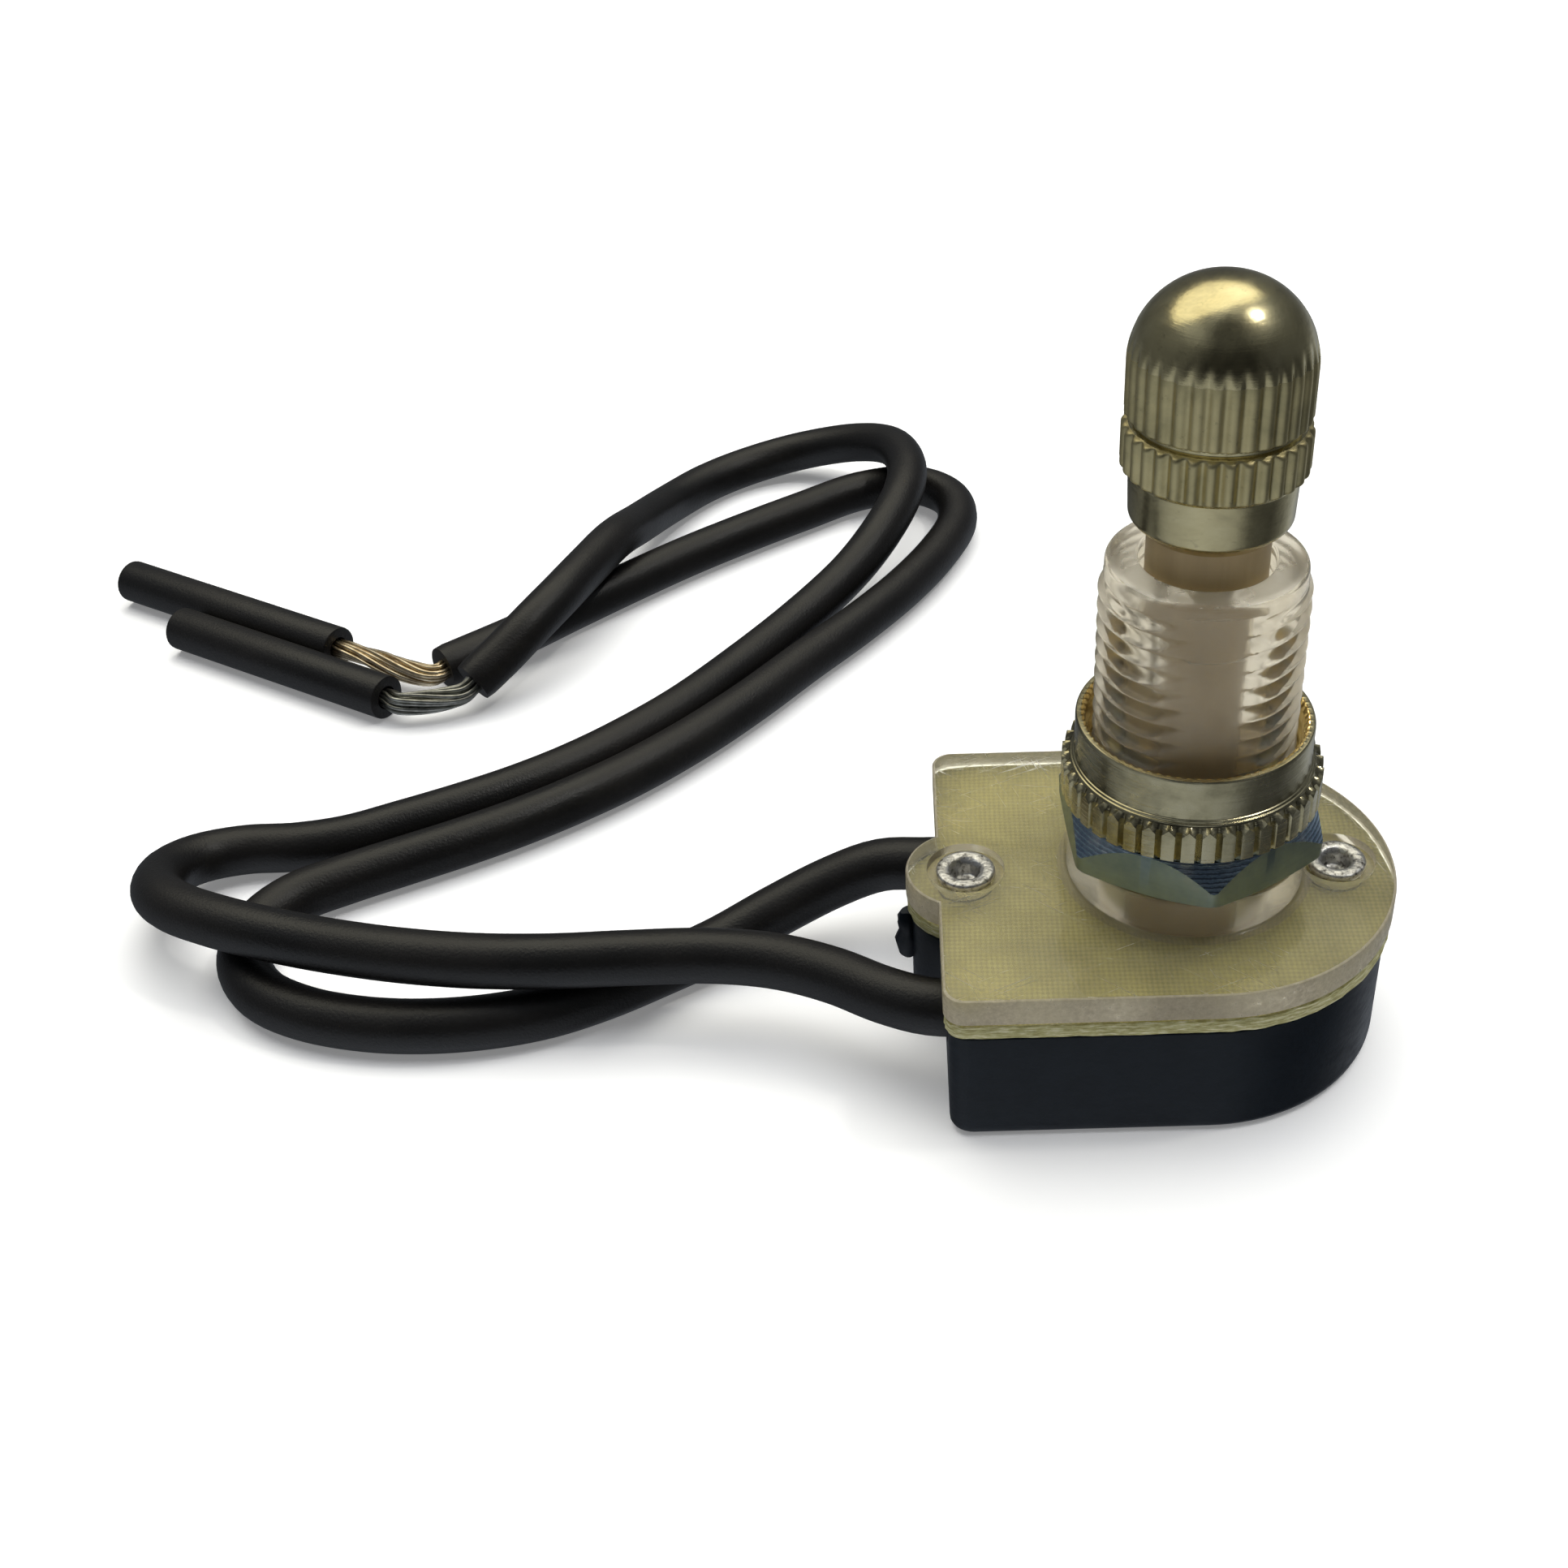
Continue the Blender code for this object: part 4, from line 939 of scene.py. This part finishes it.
def make_knob(plain_mat, fluted_mat):
    """The turned brass knob on its blind bore."""
    plain, fluted = 0, 1
    bands = Bands(turn_angles(KNOB_POINTS))
    bands.turn(plain, [
        (0.6, KNOB_BORE_TOP), (KNOB_BORE_R, KNOB_BORE_TOP), (KNOB_BORE_R, KNOB_MOUTH_TOP),
        (KNOB_MOUTH_R, KNOB_MOUTH_TOP), (KNOB_MOUTH_R, KNOB_BOTTOM, 0.08), (3.05, KNOB_BOTTOM, 0.05),
        (3.72, KNOB_BOTTOM + 0.62, 0.2), (3.80, 31.55, 0.1), (3.92, 31.66),
    ])
    bands.add(fluted, *rounded_ends(31.68, 1, KNOB_BAND_R, 0.26, 0.02, 0.26, 4))
    bands.add(fluted, *reversed(rounded_ends(33.80, -1, KNOB_BAND_R, 0.26, 0.02, 0.26, 4)))
    bands.turn(plain, [(3.90, 33.83), (3.66, 33.90, 0.05), (3.66, 34.12, 0.05), (3.92, 34.18)])
    bands.add(fluted, *rounded_ends(34.2, 1, KNOB_CAP_R, CAP_FLUTE_DEPTH, 0.03, 0.16, 3))
    for z in (35.0, 36.0, KNOB_DOME_Z):
        bands.add(fluted, flute_ring(z, KNOB_CAP_R, CAP_FLUTE_DEPTH))
    for step in range(1, 30):
        angle = math.radians(3.0 * step)
        above = (KNOB_TOP - KNOB_DOME_Z) * math.sin(angle)
        crest = KNOB_CAP_R * math.cos(angle) ** 0.96
        depth = CAP_FLUTE_DEPTH * (1.0 - smooth(above / 1.75))
        bands.add(fluted if above < 0.45 else plain, flute_ring(KNOB_DOME_Z + above, crest, depth))
    bands.turn(plain, [(0.06, KNOB_TOP)])
    knob = skin("turned_knob", bands.rings, [plain_mat, fluted_mat], False, 50.0, bands.slots)
    stand_for(knob, "knob", "rotor")


# ---------------- leads
def spline_point(points, i, t):
    """A point between points i and i + 1 on a smooth curve through all of them."""
    last = len(points) - 1
    before, start = points[max(i - 1, 0)], points[i]
    end, after = points[min(i + 1, last)], points[min(i + 2, last)]
    leave, arrive = (end - before) / 2.0, (after - start) / 2.0
    t2, t3 = t * t, t * t * t
    return (start * (2 * t3 - 3 * t2 + 1) + leave * (t3 - 2 * t2 + t)
            + end * (3 * t2 - 2 * t3) + arrive * (t3 - t2))


def smooth_route(route, step):
    """Evenly spaced points along the smooth curve through a route."""
    points = [Vector(point) for point in route]
    grain_with_painted_glints = [spline_point(points, i, t / 16.0) for i in range(len(points) - 1) for t in range(16)]
    grain_with_painted_glints.append(points[-1])
    lengths = [0.0]
    for a, b in zip(grain_with_painted_glints, grain_with_painted_glints[1:]):
        lengths.append(lengths[-1] + (b - a).length)
    count = max(2, round(lengths[-1] / step))
    spaced, i = [], 0
    for k in range(count + 1):
        target = lengths[-1] * k / count
        while i < len(grain_with_painted_glints) - 2 and lengths[i + 1] < target:
            i += 1
        part = (target - lengths[i]) / (lengths[i + 1] - lengths[i])
        spaced.append(grain_with_painted_glints[i].lerp(grain_with_painted_glints[i + 1], part))
    return spaced


def frames_along(points):
    """Two vectors across the path at each point, carried along without twist."""
    across = None
    frames = []
    for i in range(len(points)):
        along = (points[min(i + 1, len(points) - 1)] - points[max(i - 1, 0)]).normalized()
        if across is None:
            across = along.orthogonal().normalized()
        across = (across - along * across.dot(along)).normalized()
        frames.append((across, along.cross(across)))
    return frames


def tube_rings(points, radii, count):
    """Rings round a path, with a radius for each point."""
    rings = []
    for point, radius, (u, v) in zip(points, radii, frames_along(points)):
        spokes = [u * math.cos(a) + v * math.sin(a) for a in turn_angles(count)]
        rings.append([tuple(point + spoke * radius) for spoke in spokes])
    return rings


def make_wire(end, mat):
    """One lead's insulation, with slightly softened cut ends, and its points."""
    points = smooth_route(ROUTES[end], 0.6)
    radii = [WIRE_R - 0.06] + [WIRE_R] * (len(points) - 2) + [WIRE_R - 0.08]
    wire = skin("lead_" + end, tube_rings(points, radii, 28), [mat], False, 50.0)
    stand_for(wire, "wire_" + end, "housing")
    return wire, points


def make_slug(end, mat):
    """A loose length of insulation with square-cut hollow ends."""
    start, length = SLUG_STARTS[end], SLUG_LENGTHS[end]
    across, up = Vector((-SLUG_HEADING.y, SLUG_HEADING.x, 0.0)), Vector((0.0, 0.0, 1.0))
    corners = [
        (SLUG_BORE_R, 0.0), (WIRE_R, 0.0, 0.1), (WIRE_R, length, 0.1), (SLUG_BORE_R, length, 0.06),
        (SLUG_BORE_R, length * 0.5),
    ]
    rings = []
    for radius, reach in filleted(corners, 3):
        middle = start + SLUG_HEADING * reach
        spokes = [across * (radius * math.cos(a)) + up * (radius * math.sin(a)) for a in turn_angles(32)]
        rings.append([tuple(middle + spoke) for spoke in spokes])
    slug = skin("slug_tube_" + end, rings, [mat], True, 50.0)
    stand_for(slug, "slug_" + end, "housing")
    return slug


def strand_path(end):
    """The middle of the strands: out of the lead, round the bend and far into the slug."""
    lead_end, before = Vector(ROUTES[end][-1]), Vector(ROUTES[end][-2])
    leaving = (lead_end - before).normalized()
    route = [lead_end - leaving * 0.4, lead_end + leaving * 1.2]
    route.append(SLUG_STARTS[end] - SLUG_HEADING * 1.6 + Vector((0.0, 0.0, 0.1)))
    route += [SLUG_STARTS[end] + SLUG_HEADING * reach for reach in (-0.2, 2.0, 13.0)]
    return smooth_route(route, STRAND_STEP)


def make_strands(end, mat):
    """Twisted bare strands from a lead's end into its slug, as one piece."""
    path = strand_path(end)
    frames = frames_along(path)
    bm = bmesh.new()
    for layer_r, number, offset in STRAND_LAYERS:
        for n in range(number):
            wander = 0.04 * math.sin(n * 2.4 + layer_r * 9.0) if layer_r > 0 else 0.0
            loose = 0.24 * (1.0 + math.sin(n * 1.7) * 0.8)
            line = []
            for i, (point, (u, v)) in enumerate(zip(path, frames)):
                run = i * STRAND_STEP
                turn = TAU * (n + offset) / number + run * STRAND_TWIST
                turn += 0.12 * math.sin(i * 0.11 + n * 2.1)
                radius = layer_r * (1.0 + loose * math.sin(math.pi * min(1.0, run / 7.0))) + wander
                line.append(point + u * (radius * math.cos(turn)) + v * (radius * math.sin(turn)))
            skin_into(bm, tube_rings(line, [STRAND_R] * len(line), 7))
    bundle = object_from("bare_strands_" + end, bm, [mat], 60.0)
    stand_for(bundle, "strands_" + end, "housing")
    return bundle


def make_leads(pvc, strand_looks):
    """Both leads with what is on them."""
    for end in ("front", "back"):
        wire, points = make_wire(end, pvc)
        strands = make_strands(end, strand_looks[end])
        slug = make_slug(end, pvc)


def dress_hidden(looks):
    """Give the CAD nodes that stay inside the housing their own materials."""
    for node, mat in looks.items():
        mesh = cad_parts[node].data
        for i in range(len(mesh.materials)):
            mesh.materials[i] = mat


def main():
    make_camera()
    make_studio()
    pvc = black_pvc()
    make_leads(pvc, {
        "front": tinned("look_strands_grey", (0.62, 0.62, 0.56), (0.27, 0.27, 0.24), 0.34),
        "back": tinned("look_strands_gold", (1.0, 0.86, 0.62), (0.66, 0.52, 0.33), 0.3),
    })
    phenolic = black_phenolic()
    make_housing(phenolic)
    make_gate_stub(phenolic)
    make_sheet(glass_epoxy(), glass_epoxy_edge())
    make_cover([
        clear_plastic(), clear_plastic_plate(), clear_plastic_edge(), clear_plastic_back(),
        clear_plastic_mouth(),
    ])
    make_rivets(nickel())
    make_hex_nut(zinc_flats(), zinc_turned())
    make_ring_nut(
        brass("look_ring_brass", (0.68, 0.62, 0.42), (0.54, 0.485, 0.30), (0.28, 0.25, 0.15),
              rough=(0.15, 0.30), line_scale=7000.0, line_strength=0.45),
        brass("look_rim_brass", (0.95, 0.76, 0.36), (0.80, 0.60, 0.24), (0.50, 0.35, 0.12),
              rough=(0.12, 0.28), line_scale=3000.0, line_strength=0.5),
    )
    make_shaft(tan_plastic())
    make_knob(
        brass("look_knob_plain", (0.84, 0.75, 0.45), (0.70, 0.61, 0.34), (0.48, 0.42, 0.24),
              rough=(0.16, 0.26), line_scale=5200.0, line_strength=0.12),
        brass("look_knob_fluted", (0.86, 0.75, 0.42), (0.72, 0.625, 0.335), (0.47, 0.415, 0.225),
              rough=(0.44, 0.58), line_scale=900.0, line_strength=0.25),
    )
    contact = brass("look_contact_brass", (0.85, 0.68, 0.36), (0.72, 0.55, 0.27), (0.5, 0.37, 0.16),
                    rough=(0.2, 0.35), line_scale=4000.0, line_strength=0.2)
    core = tinned("look_core", (0.85, 0.74, 0.58), (0.6, 0.48, 0.34), 0.32)
    dress_hidden({
        "rotor_drum": drum_plastic(), "bridge_contact": contact, "contact_spring_front": contact,
        "contact_spring_back": contact, "crimp_front": contact, "crimp_back": contact,
        "core_front": core, "core_back": core,
    })


main()
